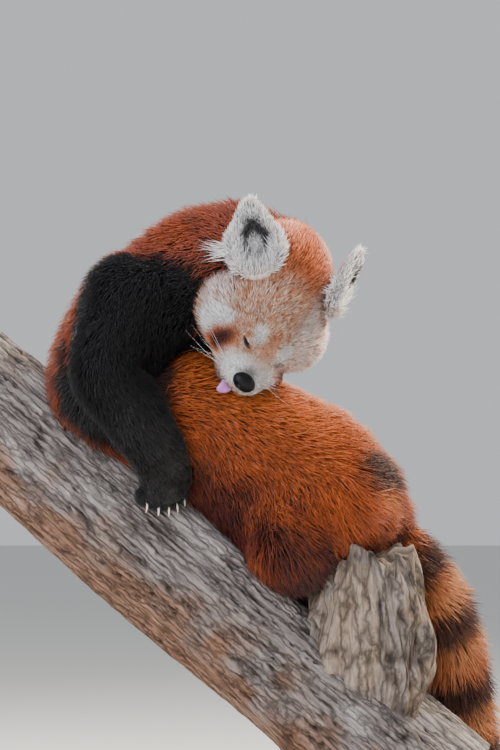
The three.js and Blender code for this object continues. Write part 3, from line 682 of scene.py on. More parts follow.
legNodes = {
    "foreRight": "foreleg_right", "foreLeft": "foreleg_left",
    "hindLeft": "hindleg_left", "hindRight": "hindleg_right",
}
fleshNodes = [
    "head", "ear_right", "ear_left", "rump", "flank", "loin", "chest", "shoulders", "neck",
    *[f"tail_{i}" for i in (1, 2, 3, 4)],
    *[f"{leg}_{part}" for leg in ("foreleg_right", "foreleg_left", "hindleg_right", "hindleg_left")
      for part in ("upper", "lower", "paw")],
]
skinShade = 0.55  # painted shade: the skin seen between the tufts is darkened for the shade they cast on it
skinPoints, skinFaces, skinColours, sources = [], [], [], []
count = 0
for name, points, faces in meshes:
    normals, areas = vertexNormals(points, faces)
    if name == "body":
        colour = bodyColour(points, normals, *nearestLimb(points))
    elif name == "head":
        colour = headColour(points)
    else:
        colour = earColour(ears[name], points)
    skinPoints.append(points)
    skinFaces.append(faces + count)
    skinColours.append(colour * skinShade)
    count += len(points)
    sources.append({"name": name, "points": points, "faces": faces, "normals": normals, "areas": areas})
# The first points show which way the faces turn: normals point away from the limb's line.
some = 400
first, normals = sources[0]["points"][:some], sources[0]["normals"][:some]
limb, station = nearestLimb(first)
line = np.concatenate([lineAt(limbNames[k], station[i:i + 1])[0] for i, k in enumerate(limb)])
if ((first - line) * normals).sum() < 0:
    skinFaces = [faces[:, ::-1] for faces in skinFaces]
    for source in sources:
        source["normals"] = -source["normals"]
addMesh("skin", np.concatenate(skinPoints), np.concatenate(skinFaces), skinMaterial,
        np.concatenate(skinColours), replaced=fleshNodes)
say(f"skin {sum(len(f) for f in skinFaces)} triangles")


# Tufts: bent three-sided blades that taper to a point.
tuftForm = {
    "sunk": 0.8, "midWide": 0.82, "midAlong": 0.45, "bend": 0.6,
    "long": (0.72, 1.18), "lift": (0.55, 1.15), "tone": (0.72, 1.22),  # random spread
    "sway": {"scale": 26, "share": 0.4}, "mottle": {"scale": 4.5, "share": 0.22},
    "shades": (0.6, 0.95, 1.25),  # at root, middle and tip: painted shade at the root, painted light at the tip
}
tuftFaces = np.array([
    [0, 1, 4], [0, 4, 3], [1, 2, 5], [1, 5, 4], [2, 0, 3], [2, 3, 5],  # sides, root to middle
    [3, 4, 6], [4, 5, 6], [5, 3, 6], [0, 2, 1],  # sides to the tip, and the foot
])
tuftCorners = np.array([(1, -0.25), (-1, -0.25), (0, 0.6)])  # of each ring, sideways and outwards
# Where the seven points lie round the root's place on the map.
tuftPatch = np.array([(-1, -1), (1, -1), (0, -1), (-0.7, 0), (0.7, 0), (0, 0), (0, 1)]) * 0.0015
mostTufts = 19000  # in one piece


def clumped(roots, size):
    # Middle of the group of roots that each root belongs to.
    wobble = noiseVector(roots, size * 1.7, 11) * size * 0.6
    cell = np.floor((roots + wobble) / size).astype(np.int64)
    key = cell[:, 0] * 73856093 ^ cell[:, 1] * 19349663 ^ cell[:, 2] * 83492791
    found, group = np.unique(key, return_inverse=True)
    share = np.bincount(group)
    return np.stack([np.bincount(group, roots[:, k]) / share for k in range(3)], 1)[group]


def alongSkin(vectors, normals):
    # The share of each vector that lies along the skin.
    return vectors - normals * (vectors * normals).sum(1, keepdims=True)


def addTufts(name, roots, normals, flow, long, lift, wide, colour, unwrap, clump, gather, wild):
    # long, lift and wide in mm for each root; unwrap is the root's place on the skin's own map. Roots in a
    # group of clump mm draw together by the share gather, and wild strays from the lie at random.
    n = len(roots)
    if n == 0:
        return 0
    form = tuftForm
    sway = noiseVector(roots, form["sway"]["scale"], 20) * form["sway"]["share"]
    flow = unit(alongSkin(flow + sway + rng.normal(0, wild, (n, 3)), normals))
    side = np.cross(flow, normals)
    long = (long * rng.uniform(*form["long"], n))[:, None]
    lift = (lift * rng.uniform(*form["lift"], n))[:, None]
    pull = alongSkin((clumped(roots, clump) - roots) * gather, normals)
    middle = roots + flow * long * form["midAlong"] + normals * lift * form["bend"] + pull * 0.4
    verts = np.empty((n, 7, 3))
    for i, (at, share) in enumerate(((roots - normals * form["sunk"], 1.0), (middle, form["midWide"]))):
        half = (wide * share)[:, None] / 2
        for k, (a, b) in enumerate(tuftCorners):
            verts[:, i * 3 + k] = at + side * half * a + normals * half * b
    level = np.sqrt(np.clip(1 - (lift / long) ** 2, 0.1, 1))
    verts[:, 6] = roots + flow * long * level + normals * lift + pull
    mottle = 1 + form["mottle"]["share"] * noise(roots, form["mottle"]["scale"], 30)
    colour = colour * rng.uniform(*form["tone"], n)[:, None] * mottle[:, None]
    # Each tuft is painted darker at its root, painted shade, and brighter at its tip, painted light.
    rootShade, atMiddle, tipLight = form["shades"]
    shades = np.empty((n, 7, 3))
    shades[:, 0:3] = (colour * rootShade)[:, None]
    shades[:, 3:6] = (colour * atMiddle)[:, None]
    shades[:, 6] = np.clip(colour * tipLight + 0.004, 0, 1)
    uv = np.clip(unwrap, 0.004, 0.996)[:, None] + tuftPatch[None]
    pieces = max(1, math.ceil(n / mostTufts))
    for i, some in enumerate(np.array_split(np.argsort(unwrap[:, 1]), pieces)):
        some = np.sort(some)
        faces = (tuftFaces[None] + (np.arange(len(some)) * 7)[:, None, None]).reshape(-1, 3)
        addMesh(f"{name}_{i + 1}", verts[some].reshape(-1, 3), faces, furMaterial,
                shades[some].reshape(-1, 3), uv[some].reshape(-1, 2))
    say(f"{name}: {n} tufts in {pieces} pieces")
    return n


def sample(source, density):
    # Roots spread evenly over a mesh, density per square mm at each face's middle.
    points, faces, areas = source["points"], source["faces"], source["areas"]
    expected = areas * density
    number = np.floor(expected + rng.random(len(expected))).astype(int)
    face = np.repeat(np.arange(len(faces)), number)
    a, b = np.sqrt(rng.random(len(face))), rng.random(len(face))
    weights = np.stack([1 - a, a * (1 - b), a * b], 1)[..., None]
    roots = (points[faces[face]] * weights).sum(1)
    return roots, unit((source["normals"][faces[face]] * weights).sum(1))


share = 1.0
coat = {
    # For each limb: tufts to the square mm, then their length as a share of the coat's depth and their
    # width in mm, both at the first and at the last station.
    "torso": {"density": 0.335, "long": (1.62, 1.75), "wide": (1.3, 1.25)},
    "tail": {"density": 0.36, "long": (1.6, 1.6), "wide": (1.35, 1.35)},
    "foreRight": {"density": 0.5, "long": (1.9, 2.2), "wide": (1.3, 0.7)},
    "foreLeft": {"density": 0.34, "long": (1.9, 2.2), "wide": (1.4, 0.8)},
    "hindLeft": {"density": 0.36, "long": (1.9, 2.2), "wide": (1.5, 0.8)},
    "hindRight": {"density": 0.3, "long": (1.9, 2.2), "wide": (1.6, 0.8)},
    "fold": {"density": 0.16, "long": (1.9, 1.9), "wide": (1.6, 1.6)},
    "belly": {"density": 0.22, "long": (2.0, 2.0), "wide": (1.6, 1.6)},
}
source = sources[0]
faceMid = source["points"][source["faces"]].mean(1)
limb, station = nearestLimb(faceMid)
dense = np.array([coat[name]["density"] for name in limbNames])[limb]
last = np.array([part["at"][-1] for part in limbs.values()])[limb]
# Legs grow closer towards the feet.
dense = dense * (1 + 1.3 * ramp(0.55, 1, station / last) * ~isLimb(limb, "torso", "tail"))
hidden = (woodField(faceMid) < 0) | (headOuter(faceMid) < -7)
roots, normals = sample(source, dense * share * ~hidden)
limb, station = nearestLimb(roots)
total = 0
for k, name in enumerate(limbNames):
    mine = limb == k
    p, n, at = roots[mine], normals[mine], station[mine]
    part = limbs[name]
    place, along = lineAt(name, at)
    if name == "torso":  # the lie runs from nape to rump, and hangs on the flank
        along = -along + vec(0, 0, -0.35) * (1 - ramp(3.5, 5, at))[:, None] * (1 - np.clip(n[:, 2:], 0, 1))
    if name == "hindLeft":  # the thigh goes on with the flank's lie
        along = mix(vec(0.72, 0, -0.7), along, ramp(0.7, 1.9, at)[:, None])
    depth = np.interp(at, part["at"], part["depth"])
    t = at / part["at"][-1]
    settings = coat[name]
    upSide = unit(np.cross(along, vec(0.1, 1, 0.05)))
    turn = np.arctan2((n * upSide).sum(1), (n * np.cross(upSide, along)).sum(1)) / (2 * math.pi) + 0.5
    colour = bodyColour(p + along * depth[:, None] * 0.9, n, limb[mine], at)  # from further down the tufts
    long, wide = depth * mix(*settings["long"], t), mix(*settings["wide"], t)
    total += addTufts(
        f"coat_{name}", p, n, along, long, depth * 0.92, wide, colour, np.stack([turn, t * 0.98 + 0.01], 1),
        clump=8, gather=0.34, wild=0.26 if name in ("torso", "tail") else 0.19,
    )

# The head: the lie runs from the nose backwards, fine and short on the face, and leaves eyes and nose bare.
source = sources[1]
faceMid = source["points"][source["faces"]].mean(1)
fromFace = np.linalg.norm(faceMid - faceMiddle, axis=1)
bare = np.zeros(len(faceMid), dtype=bool)
for eye in eyes:
    front = eye["centre"] + eye["out"] * eyeForm["radius"]
    bare |= ballField(faceMid, front, (7.0, 5, 1.7), eye["axes"]) < 0
noseCentre = onHead(1, -4, -1)
bare |= ballField(faceMid, noseCentre, (11.5, 8, 8)) < 0.6
bare |= headOuter(faceMid) < -12
dense = mix(1.55, 0.95, ramp(28, 75, fromFace)) * ~bare
torsoInside = limbField(limbs["torso"], faceMid)[0] < -4
roots, normals = sample(source, dense * share * ~torsoInside)
reach = np.linalg.norm(roots - faceMiddle, axis=1)
q = (roots - noseTip) @ headAxes
away = roots - onHead(0, -14, 0)
long = mix(3.4, 9.5, ramp(20, 66, reach))
cheek = ramp(36, 54, np.abs(q[:, 0])) * ramp(-95, -60, q[:, 1])
long = long + cheek * 7 + 5 * ramp(72, 100, reach)
lift = np.minimum(headCoat(roots) * 1.05 + cheek * 2.5, long * 0.55)
headMiddle = vec(38, -10, 585)
across, forward, up = unit((roots - headMiddle) @ headAxes).T
unwrap = np.stack([np.arctan2(across, up) / (2 * math.pi) + 0.5, np.arccos(forward) / math.pi], 1)
colour = headColour(roots + unit(away) * long[:, None] * 0.6)
total += addTufts("coat_head", roots, normals, away / 60, long, lift, mix(0.55, 1.05, ramp(22, 70, reach)),
                  colour, unwrap, clump=5, gather=0.3, wild=0.16)

# The ears: close fur that rises to the tip, longest on the rim.
earWisps = {"number": 230, "long": (9, 18), "lift": 5.0, "wide": 0.7}
sideWisps = {"number": 70, "long": (12, 33), "lift": 4.0, "wide": 0.7}


def addWisps(name, settings, pick, normals, flow, **gathered):
    # Long white hairs from the picked roots of the ear in hand.
    n = len(pick)
    return addTufts(name, roots[pick], unit(normals), flow, rng.uniform(*settings["long"], n),
                    np.full(n, settings["lift"]), np.full(n, settings["wide"]),
                    np.tile(colours["white"], (n, 1)), unwrap[pick], **gathered)


for source in sources[2:]:
    ear = ears[source["name"]]
    mid = source["points"][source["faces"]].mean(1)
    buried = headOuter(mid) < -3
    roots, normals = sample(source, 0.75 * share * ~buried)
    q = (roots - ear["middle"]) @ ear["axes"]
    across, out, up = ear["axes"].T
    rim = np.sqrt((q[:, 0] / (ear["wide"] / 2)) ** 2 + (q[:, 2] / (ear["long"] * earForm["half"])) ** 2)
    outward = (q * vec(1, 0, 1)) @ ear["axes"].T
    cupped = (q[:, 1] > 0) & (rim < 0.75)
    flow = unit(outward) * np.where(cupped, 0.15, 0.6)[:, None] + up * 0.8
    long = np.where(cupped, 7.0, mix(6.0, 13.0, ramp(0.55, 1.0, rim)))
    unwrap = np.stack([q[:, 0] / 80 + np.where(q[:, 1] > 0, 0.27, 0.73), q[:, 2] / 100 + 0.5], 1)
    total += addTufts("coat_" + source["name"], roots, normals, flow, long, np.minimum(long * 0.45, 4.5),
                      np.full(len(roots), 0.8), earColour(ear, roots), unwrap, clump=5, gather=0.4, wild=0.2)
    # Long white hairs rise from the foot of the front edge over the cup.
    weight = np.exp(-((rim - 0.75) / 0.2) ** 2) * (q[:, 1] > -2) * (q[:, 2] < -7)
    pick = rng.choice(len(roots), int(earWisps["number"] * share), p=weight / weight.sum())
    total += addWisps("wisps_" + source["name"], earWisps, pick, normals[pick] + out,
                      -outward[pick] / 34 + up * 0.75 + out * 0.2, clump=7, gather=0.5, wild=0.2)
    # A pointed lock stands out from the edge towards the neck.
    edge = np.flatnonzero((q[:, 0] < -ear["wide"] * 0.3) & (np.abs(q[:, 2] + 5) < 6) & (q[:, 1] > -4))
    pick = rng.choice(edge, min(len(edge), int(sideWisps["number"] * share)))
    spread = rng.uniform(-0.25, 0.3, len(pick))[:, None]
    total += addWisps("side_" + source["name"], sideWisps, pick, normals[pick] * 0.4 + out,
                      -across + up * spread, clump=24, gather=0.75, wild=0.08)
say(f"{total} tufts, {total * len(tuftFaces)} triangles of coat")


# Smooth pieces: rings of points joined into a closed surface.
def loft(rings):
    rings = np.asarray(rings)
    rows, around = rings.shape[:2]
    points = np.concatenate([rings.reshape(-1, 3), rings[0].mean(0)[None], rings[-1].mean(0)[None]])
    i, j = np.meshgrid(np.arange(rows - 1), np.arange(around), indexing="ij")
    a, b = (i * around + j).ravel(), (i * around + (j + 1) % around).ravel()
    faces = [np.stack([a, b, b + around], 1), np.stack([a, b + around, a + around], 1)]
    j = np.arange(around)
    low, high = rows * around, (rows - 1) * around
    faces.append(np.stack([np.full(around, low), (j + 1) % around, j], 1))
    faces.append(np.stack([np.full(around, low + 1), high + j, high + (j + 1) % around], 1))
    faces = np.concatenate(faces)
    a, b, c = points[faces[:, 0]], points[faces[:, 1]], points[faces[:, 2]]
    if (a * np.cross(b, c)).sum() < 0:
        faces = faces[:, ::-1]
    return points, faces


def tube(path, radii, sides=14, flat=1.0):
    # A round or flattened tube of changing radius along a path.
    path = np.asarray(path, dtype=float)
    line = unit(np.gradient(path, axis=0))
    first = unit(np.cross(line[0], vec(0.31, 0.9, 0.3)))
    turns = np.arange(sides) / sides * 2 * math.pi
    rings = []
    for at, way, radius in zip(path, line, radii):
        a = unit(first - way * (first @ way))
        b = np.cross(way, a)
        rings.append(at + radius * (np.cos(turns)[:, None] * a + flat * np.sin(turns)[:, None] * b))
    return loft(rings)


def pebble(centre, radii, axes, sides=28):
    polar = np.linspace(0.02, math.pi - 0.02, sides // 2 + 2)
    turns = np.arange(sides) / sides * 2 * math.pi
    ring = np.stack([np.cos(turns), np.sin(turns), np.ones(sides)], 1)
    rings = [ring * (np.sin(t), np.sin(t), math.cos(t)) for t in polar]
    return loft((np.array(rings) * np.asarray(radii)) @ axes.T + centre)


# Wet dark eyes: a smooth ball under a clear film that catches a small hard light.
eyeMaterial, tree, surface = newMaterial("wet_eye", {
    "Base Color": rgba("#140C08"), "Roughness": 0.08, "IOR": 1.38, "Coat Weight": 1.0, "Coat Roughness": 0.03,
})
# Damp nose leather: fine pebbled grain, so that its shine breaks up.
noseMaterial, tree, surface = newMaterial("nose_leather", {
    "Base Color": rgba("#0B0C0E"), "Roughness": 0.5, "IOR": 1.45, "Specular IOR Level": 0.22,
})
place = addNode(tree, "ShaderNodeTexCoord")
grain = addNode(tree, "ShaderNodeTexVoronoi", {"Scale": 1100}, {"Vector": place.outputs["Object"]})
pebbling = {"Strength": 0.35, "Distance": 0.3 * mm}
relief = addNode(tree, "ShaderNodeBump", pebbling, {"Height": grain.outputs["Distance"]})
tree.links.new(relief.outputs["Normal"], surface.inputs["Normal"])
# Wet tongue: light goes in and comes back pink, under a soft film.
tongueMaterial, tree, surface = newMaterial("wet_tongue", {
    "Base Color": rgba("#B273B8"), "Roughness": 0.3, "IOR": 1.4, "Subsurface Weight": 0.25,
    "Subsurface Scale": 4 * mm,
})
# Claw horn: pale, slightly clear, with a low polish.
clawMaterial, tree, surface = newMaterial("claw_horn", {
    "Base Color": rgba("#D8CDBB"), "Roughness": 0.32, "IOR": 1.54, "Subsurface Weight": 0.15,
    "Subsurface Scale": 2 * mm,
})
# Whiskers: stiff white hair with a clean highlight.
whiskerMaterial, tree, surface = newMaterial("whisker", {
    "Base Color": rgba("#F2EEEA"), "Roughness": 0.35, "IOR": 1.55,
})

for eye in eyes:
    centre = eye["centre"] - eye["out"] * eyeForm["behindLid"]
    ball = pebble(centre, (eyeForm["radius"] - 0.1,) * 3, eye["axes"])
    addMesh(eye["name"], *ball, eyeMaterial, replaced=(eye["name"],))

# The closed lids meet in a dark line.
lash = {"half": 6.6, "out": 9.0, "droop": 1.3, "radius": 0.95}
lashMaterial, tree, surface = newMaterial("lid_edge", {
    "Base Color": rgba("#0C0808"), "Roughness": 0.4, "IOR": 1.45,
})
for eye in eyes:
    t = np.linspace(-1, 1, 14)
    path = eye["centre"] + np.outer(t * lash["half"], eye["axes"][:, 0])
    path = path + np.outer(np.sqrt(1 - (t * 0.66) ** 2) * lash["out"], eye["out"])
    path = path + np.outer(lash["droop"] * (1 - t ** 2), eye["axes"][:, 2])
    edge = tube(path, lash["radius"] * np.sqrt(1.02 - t ** 2), 8)
    addMesh("lid_edge_" + eye["name"][4:], *edge, lashMaterial)

# The nose: a rounded pad with two nostrils pressed into its front.
points, faces = pebble(noseCentre, (11, 7.5, 7.5), headAxes, 96)
q = (points - noseCentre) @ headAxes
for side in (-1, 1):
    away = np.sqrt(((q[:, 0] - side * 5.5) / 2.7) ** 2 + ((q[:, 2] + 0.6) / 1.9) ** 2)
    q[:, 1] -= 3.4 * (1 - ramp(0.35, 1.15, away)) * (q[:, 1] > 0)
q[:, 1] -= 0.9 * np.exp(-(q[:, 0] / 0.9) ** 2) * (q[:, 1] > 0) * (q[:, 2] < 1)
addMesh("nose", q @ headAxes.T + noseCentre, faces, noseMaterial, replaced=("nose",))

# The tongue: flat, round at the tip, with a groove down its middle.
tongue = {"half": 6.5, "thick": 2.1, "groove": 0.5, "rings": 26}
turns = np.arange(36) / 36 * 2 * math.pi
stations = np.array([onHead(0, -20, -14), onHead(-2, -10, -16), onHead(-4, -3, -19), onHead(-6, 0, -24)])
path = curvePoint(stations, np.linspace(0, 2.999, tongue["rings"]))
last = tongue["rings"] - 1
rings = []
for i, at in enumerate(path):
    t = i / last
    flat = unit(np.cross(headSide, unit(path[min(i + 1, last)] - path[max(i - 1, 0)])))
    wide = tongue["half"] * math.sqrt(max(0.02, 1 - t ** 4))
    thick = tongue["thick"] * math.sqrt(max(0.03, 1 - t ** 6))
    groove = tongue["groove"] * np.exp(-(np.cos(turns) / 0.25) ** 2) * np.abs(np.sin(turns))
    rings.append(at + headSide * (wide * np.cos(turns))[:, None]
                 + flat * ((thick - groove) * np.sin(turns))[:, None])
addMesh("tongue", *loft(rings), tongueMaterial, replaced=("tongue",))

# Claws: hooked, from the tip of each toe.
claw = {"long": 11, "bend": 1.1, "radius": 1.9, "taper": 0.88, "flat": 0.8}
t = np.linspace(0, 1, 12)
for i, toe in enumerate(toes):
    root = toe["centre"] + toe["ahead"] * 4 + toe["out"]
    path = root + np.outer(np.sin(t * claw["bend"]) * claw["long"], toe["ahead"])
    path = path + np.outer((np.cos(t * claw["bend"]) - 1) * claw["long"] * 0.9, toe["out"])
    name = f"{legNodes[toe['limb']]}_claw_{i % 5 + 1}"
    horn = tube(path, claw["radius"] * (1 - t * claw["taper"]), 14, claw["flat"])
    addMesh(name, *horn, clawMaterial, replaced=(name,))

# Whiskers on both sides of the muzzle.
hairs = {"side": 7, "long": (26, 44), "radius": 0.13}
allPoints, allFaces, count = [], [], 0
for side in (-1, 1):
    for i in range(hairs["side"]):
        at = ontoHead(onHead(side * rng.uniform(13, 21), rng.uniform(-22, -12), rng.uniform(-10, 2)), 6)
        way = headSide * side + headForward * rng.uniform(-0.6, 0.25)
        way = unit(way + headUp * rng.uniform(-0.55, 0.25))
        t = np.linspace(0, 1, 8)[:, None]
        long = rng.uniform(*hairs["long"])
        path = at + way * t * long + headForward * -(t ** 2) * long * 0.22 - headUp * t ** 2 * long * 0.1
        points, faces = tube(path, hairs["radius"] * (1.1 - t[:, 0]), 4)
        allPoints.append(points)
        allFaces.append(faces + count)
        count += len(points)
addMesh("whiskers", np.concatenate(allPoints), np.concatenate(allFaces), whiskerMaterial)
say("eyes, nose, tongue, claws and whiskers")

# The trunk: furrowed bark, its depth from stretched noise round the axis, with smooth pale patches.
rows, around = ((420, 300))
t, turn = np.meshgrid(np.linspace(0, 1, rows), np.arange(around) / around * 2 * math.pi, indexing="ij")
ring = np.stack([np.cos(turn) * 70, np.sin(turn) * 70, t * trunkLong], -1)
smoothPart = ramp(0.25, 0.6, noise(ring * vec(1, 1, 0.55), 26, 41)) * 0.8
drifted = ring + noiseVector(ring * vec(1, 1, 0.5), 30, 60) * 9
furrow = np.abs(noise(drifted * vec(1, 1, 0.1), 6.5, 42))
furrow = furrow + 0.4 * np.abs(noise(drifted * vec(1, 1, 0.2), 2.8, 43))
plates = ramp(0.02, 0.3, furrow)
fine = noise(ring * vec(1, 1, 0.5), 2.2, 44)
depth = mix(plates * 4.2 + fine * 0.5, 3.0 + fine * 0.25, smoothPart * 0.85)
reach = trunkReach(t, turn) - 3.2 + depth
rings = (trunkStart + (t * trunkLong)[..., None] * trunkLine + (reach * np.cos(turn))[..., None] * trunkUp
         + (reach * np.sin(turn))[..., None] * trunkSide)
# Raised plates are lighter and the furrows darker, on the browner underside too: partly weathered bark,
# partly painted highlight on the ridges and painted shade in the furrows.
raised, pale = plates * 0.85 + fine * 0.16, smoothPart * (0.65 + 0.3 * noise(ring, 6, 45))
barkColour = mix(linear("#5A4D46"), linear("#958A84"), raised.clip(0, 1)[..., None])
barkColour = mix(barkColour, linear("#C2B8B2"), pale.clip(0, 1)[..., None])
under = ramp(-0.1, 0.8, -np.cos(turn) + noise(ring, 20, 46) * 0.5)
barkColour = mix(barkColour, linear("#7A5236") * (0.5 + plates[..., None]), under[..., None] * 0.7)
barkColour = np.concatenate([barkColour.reshape(-1, 3), np.tile(linear("#A98661"), (2, 1))]).clip(0, 1)


def woodMaterialOf(name, stretch, crack):
    # Dry weathered wood: rough and dull, with long fibres and fine cracks along the grain.
    made, tree, surface = newMaterial(name, {"Roughness": 0.9, "IOR": 1.45, "Specular IOR Level": 0.22})
    paint = addNode(tree, "ShaderNodeAttribute", {"attribute_name": "coat"})
    grain = addNode(tree, "ShaderNodeAttribute", {"attribute_name": "grain"})
    place = grain.outputs["Vector"]
    long = addNode(tree, "ShaderNodeMapping", {"Scale": (1, 1, stretch)}, {"Vector": place})
    fibreForm = {"Scale": 330, "Detail": 9, "Roughness": 0.72, "Distortion": 0.8}
    fibres = addNode(tree, "ShaderNodeTexNoise", fibreForm, {"Vector": long.outputs[0]})
    drift = addNode(tree, "ShaderNodeTexNoise", {"Scale": 90, "Detail": 4}, {"Vector": place})
    bent = addNode(tree, "ShaderNodeVectorMath", {"operation": "MULTIPLY_ADD"},
                   {0: drift.outputs["Color"], 2: long.outputs[0]})
    bent.inputs[1].default_value = (0.009, 0.009, 0.003)
    cracks = addNode(tree, "ShaderNodeTexVoronoi", {"feature": "DISTANCE_TO_EDGE", "Scale": crack},
                     {"Vector": bent.outputs[0]})
    # The cracks darken the colour as well as the relief: painted shade in them.
    gapeForm = {"From Min": 0.01, "From Max": 0.17, "To Min": 0.3, "To Max": 1.1}
    gape = addNode(tree, "ShaderNodeMapRange", gapeForm, {"Value": cracks.outputs["Distance"]})
    shadeForm = {"From Min": 0.33, "From Max": 0.66, "To Min": 0.36, "To Max": 1.42}
    shade = addNode(tree, "ShaderNodeMapRange", shadeForm, {"Value": fibres.outputs["Fac"]})
    both = addNode(tree, "ShaderNodeMath", {"operation": "MULTIPLY"},
                   {0: shade.outputs[0], 1: gape.outputs[0]})
    tone = addNode(tree, "ShaderNodeVectorMath", {"operation": "SCALE"},
                   {0: paint.outputs["Color"], "Scale": both.outputs[0]})
    tree.links.new(tone.outputs[0], surface.inputs["Base Color"])
    rough = {"Strength": 0.9, "Distance": 1.6 * mm}
    relief = addNode(tree, "ShaderNodeBump", rough, {"Height": both.outputs[0]})
    tree.links.new(relief.outputs["Normal"], surface.inputs["Normal"])
    return made


def withCaps(values):
    # The values of a loft's rings, with the two middles of its ends added.
    return np.concatenate([values.reshape(-1, 3), values[0].mean(0)[None], values[-1].mean(0)[None]])


addMesh("perch_trunk", *loft(rings), woodMaterialOf("bark", 0.13, 125), barkColour,
        replaced=("perch_trunk",), grain=withCaps(ring))

def twoTones(tree, surface, pattern, first, second):
    # A pattern's own factor mixes two colours.
    tones = addNode(tree, "ShaderNodeMix", {"data_type": "RGBA"}, {"Factor": pattern.outputs["Fac"]})
    tones.inputs["A"].default_value, tones.inputs["B"].default_value = rgba(first), rgba(second)
    tree.links.new(tones.outputs["Result"], surface.inputs["Base Color"])


# Sawn ends: pale wood in rings round the pith.
sawnMaterial, tree, surface = newMaterial("sawn_wood", {"Roughness": 0.7, "IOR": 1.45})
place = addNode(tree, "ShaderNodeTexCoord")
ringForm = {"wave_type": "RINGS", "rings_direction": "Z", "Scale": 90, "Distortion": 3, "Detail": 3}
ringWave = addNode(tree, "ShaderNodeTexWave", ringForm, {"Vector": place.outputs["Object"]})
twoTones(tree, surface, ringWave, "#B08A60", "#8A6440")
sides = 96
turns = np.arange(sides) / sides * 2 * math.pi
for name, at, way in (("sawn_end_top", 0, -1), ("sawn_end_foot", 1, 1)):
    edge = trunkReach(np.full(sides, float(at)), turns) - 4.5
    outline = np.stack([edge * np.sin(turns), edge * np.cos(turns), np.zeros(sides)], 1)
    disc = np.stack([outline, outline * 0.985])
    disc[1, :, 2] += 0.7
    points, faces = loft(disc)
    made = addMesh(name, points, faces, sawnMaterial, smooth=False)
    basis = np.stack([trunkSide, np.cross(trunkLine * way, trunkSide), trunkLine * way], 1)
    flip = points * vec(1, way * np.sign(np.cross(trunkLine * way, trunkSide) @ trunkUp) * way, 1)
    placed = (flip @ basis.T + trunkStart + trunkLine * trunkLong * at) * mm
    made.data.vertices.foreach_set("co", placed.astype(np.float32).ravel())
    made.data.update()

# The stub: torn, flaky wood, splintered at its top.
rows, around = 120, 200
t, turn = np.meshgrid(np.linspace(-0.42, 1, rows), np.arange(around) / around * 2 * math.pi, indexing="ij")
side = unit(vec(1, 0.1, 0.03))
deep = np.cross(stubLine, side)
ring = np.stack([np.cos(turn) * 40, np.sin(turn) * 40, t * stubHeight], -1)
flakes = np.abs(noise(ring * vec(1, 1, 0.16), 7, 51)) + 0.6 * np.abs(noise(ring * vec(1, 1, 0.12), 3, 52))
collar = mix(0.62, 1, ramp(-0.42, 0.3, t))
plate = noise(ring * vec(1, 1, 0.7), 19, 56)
bulge = 1 + 0.06 * np.sin(5 * turn + 8.4 * t) + 0.04 * np.sin(9 * turn - 6 * t)
across = collar * stubRadius * (1.04 - 0.3 * t * t) * bulge - 4 + flakes * 5 + 3.5 * ramp(-0.1, 0.12, plate)
splinter = noise(ring * vec(1, 1, 0), 5, 53) * 9 + 5 * np.sin(3 * turn + 1) - 3 * np.cos(5 * turn)
splinter = ramp(0.72, 1, t) * splinter
rings = (stubRoot + (t * stubHeight + splinter)[..., None] * stubLine
         + (across * np.cos(turn))[..., None] * side + (across * stubFlat * np.sin(turn))[..., None] * deep)
inner = rings[-1].mean(0)
steps = [rings]
for k in (0.86, 0.6, 0.3):  # the broken top falls away inside its edge
    top = inner + (rings[-1] - inner) * k
    top = top - stubLine * (noise(top, 5, 54) * 5 + 3 * (1 - k))[:, None]
    steps.append(top[None])
rings = np.concatenate(steps)
# Raised flakes are lighter and the gaps between them darker: partly weathered wood, partly painted highlight
# on the flakes and painted shade in the gaps.
raised = ramp(0.0, 0.5, flakes + noise(ring, 9, 55) * 0.3)
stubColour = mix(linear("#5F5149"), linear("#94867C"), raised[..., None])
stubColour = mix(stubColour, linear("#A89078"), (ramp(0.0, 0.2, plate) * 0.5)[..., None])
stubColour = np.concatenate([stubColour.reshape(-1, 3), np.tile(linear("#8C7A6A"), (3 * around + 2, 1))])
places = withCaps(np.concatenate([ring, np.tile(ring[-1], (3, 1, 1))]))
addMesh("perch_stub", *loft(rings), woodMaterialOf("broken_wood", 0.2, 90), stubColour,
        replaced=("perch_stub",), grain=places)
say("trunk and stub")

# The stand: a lacquered base with eased edges and two steel rods.
base = {"long": 460, "wide": 270, "thick": 18, "corner": 40, "ease": 2.5}
rods = {"at": (60, 155), "radius": 9.0, "sides": 40, "intoTrunk": 20}


def baseOutline(shrink):
    x, y, r = base["long"] / 2 - shrink, base["wide"] / 2 - shrink, base["corner"] - shrink
    corners = []
    for k, (sx, sy) in enumerate(((1, 1), (-1, 1), (-1, -1), (1, -1))):
        arc = np.linspace(0, math.pi / 2, 16) + k * math.pi / 2
        corners.append(np.stack([sx * (x - r) + r * np.cos(arc), sy * (y - r) + r * np.sin(arc)], 1))
    return np.concatenate(corners)


lower, upper = [], []
for k in np.linspace(0, 1, 6) * math.pi / 2:
    low, high = base["ease"] * (1 - math.cos(k)), base["ease"] * (1 - math.sin(k))
    for rings, inset, height in ((lower, high, low), (upper, low, base["thick"] - high)):
        outline = baseOutline(inset)
        rings.append(np.column_stack([outline, np.full(len(outline), height)]))
rings = lower + upper
# Satin lacquer over dark walnut: clear film above a faint grain.
baseMaterial, tree, surface = newMaterial("lacquered_walnut", {
    "Roughness": 0.42, "IOR": 1.5, "Coat Weight": 0.5, "Coat Roughness": 0.2,
})
place = addNode(tree, "ShaderNodeTexCoord")
stretch = addNode(tree, "ShaderNodeMapping", {"Scale": (3, 40, 40)}, {"Vector": place.outputs["Object"]})
figure = addNode(tree, "ShaderNodeTexNoise", {"Scale": 3, "Detail": 8, "Roughness": 0.6, "Distortion": 0.6},
                 {"Vector": stretch.outputs[0]})
twoTones(tree, surface, figure, "#2A1A12", "#5A3A26")
made = addMesh("stand_base", *loft(rings), baseMaterial, replaced=("stand_base",))
made.modifiers.new("edges", "EDGE_SPLIT").split_angle = math.radians(40)
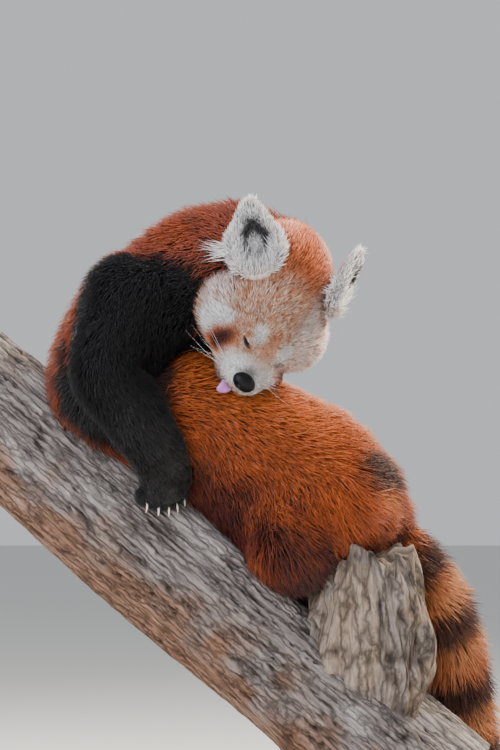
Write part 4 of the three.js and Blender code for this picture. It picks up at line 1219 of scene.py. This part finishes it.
# Brushed steel: a clear but soft reflection.
steelMaterial, tree, surface = newMaterial("brushed_steel", {
    "Base Color": rgba("#B9BCBF"), "Metallic": 1.0, "Roughness": 0.32,
})
for i, x in enumerate(rods["at"]):
    share = (x - trunkStart[0]) / (trunkEnd[0] - trunkStart[0])
    top = mix(trunkStart[2], trunkEnd[2], share) - rods["intoTrunk"]
    path = np.column_stack([np.full(12, x), np.full(12, 30), np.linspace(base["thick"], top, 12)])
    name = f"stand_rod_{i + 1}"
    rod = tube(path, np.full(12, rods["radius"]), rods["sides"])
    made = addMesh(name, *rod, steelMaterial, replaced=(name,))
    made.modifiers.new("edges", "EDGE_SPLIT").split_angle = math.radians(40)

# A plain pale floor that runs on behind the model.
floorMaterial, tree, surface = newMaterial("studio_floor", {"Base Color": rgba("#CFCFCC"), "Roughness": 0.8})
mesh = bpy.data.meshes.new("floor")
mesh.from_pydata([(-8, -8, 0), (8, -8, 0), (8, 8, 0), (-8, 8, 0)], [], [(0, 1, 2, 3)])
mesh.materials.append(floorMaterial)
floor = linked("floor", mesh)

# Soft studio light: a broad key from the upper right behind, a fill in front and pale surroundings.
lights = {
    "key": {"at": (1.3, 0.9, 1.9), "size": 0.9, "watts": 160, "colour": "#FFF3E2"},
    "fill": {"at": (-1.1, -1.9, 1.3), "size": 1.8, "watts": 88, "colour": "#EEF2FF"},
    "rim": {"at": (-1.2, 1.5, 1.5), "size": 0.9, "watts": 62, "colour": "#FFF8F0"},
}
target = Vector((0.02, 0, 0.5))
for name, values in lights.items():
    light = bpy.data.lights.new(name, "AREA")
    light.size, light.energy, light.color = values["size"], values["watts"], linear(values["colour"])
    made = linked(name, light)
    made.location = values["at"]
    made.rotation_euler = (target - made.location).to_track_quat("-Z", "Y").to_euler()
world = bpy.data.worlds.new("studio")
world.use_nodes = True
world.node_tree.nodes["Background"].inputs["Color"].default_value = rgba("#DCE0E4")
world.node_tree.nodes["Background"].inputs["Strength"].default_value = 0.8
bpy.context.scene.world = world

# The photo's camera: level, far off, looking along +Y.
camera = bpy.data.cameras.new("camera")
aim, away, high = Vector((0.0255, 0, 0.53125)), 3.0, 0.6375  # high is the picture's height at the animal
camera.lens = camera.sensor_width * away / high
camera.clip_end = 60
eyePoint = linked("camera", camera)
eyePoint.location = aim + Vector((0, -away, 0))
eyePoint.rotation_euler = (math.pi / 2, 0, 0)
bpy.context.scene.camera = eyePoint

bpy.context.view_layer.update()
say("done")
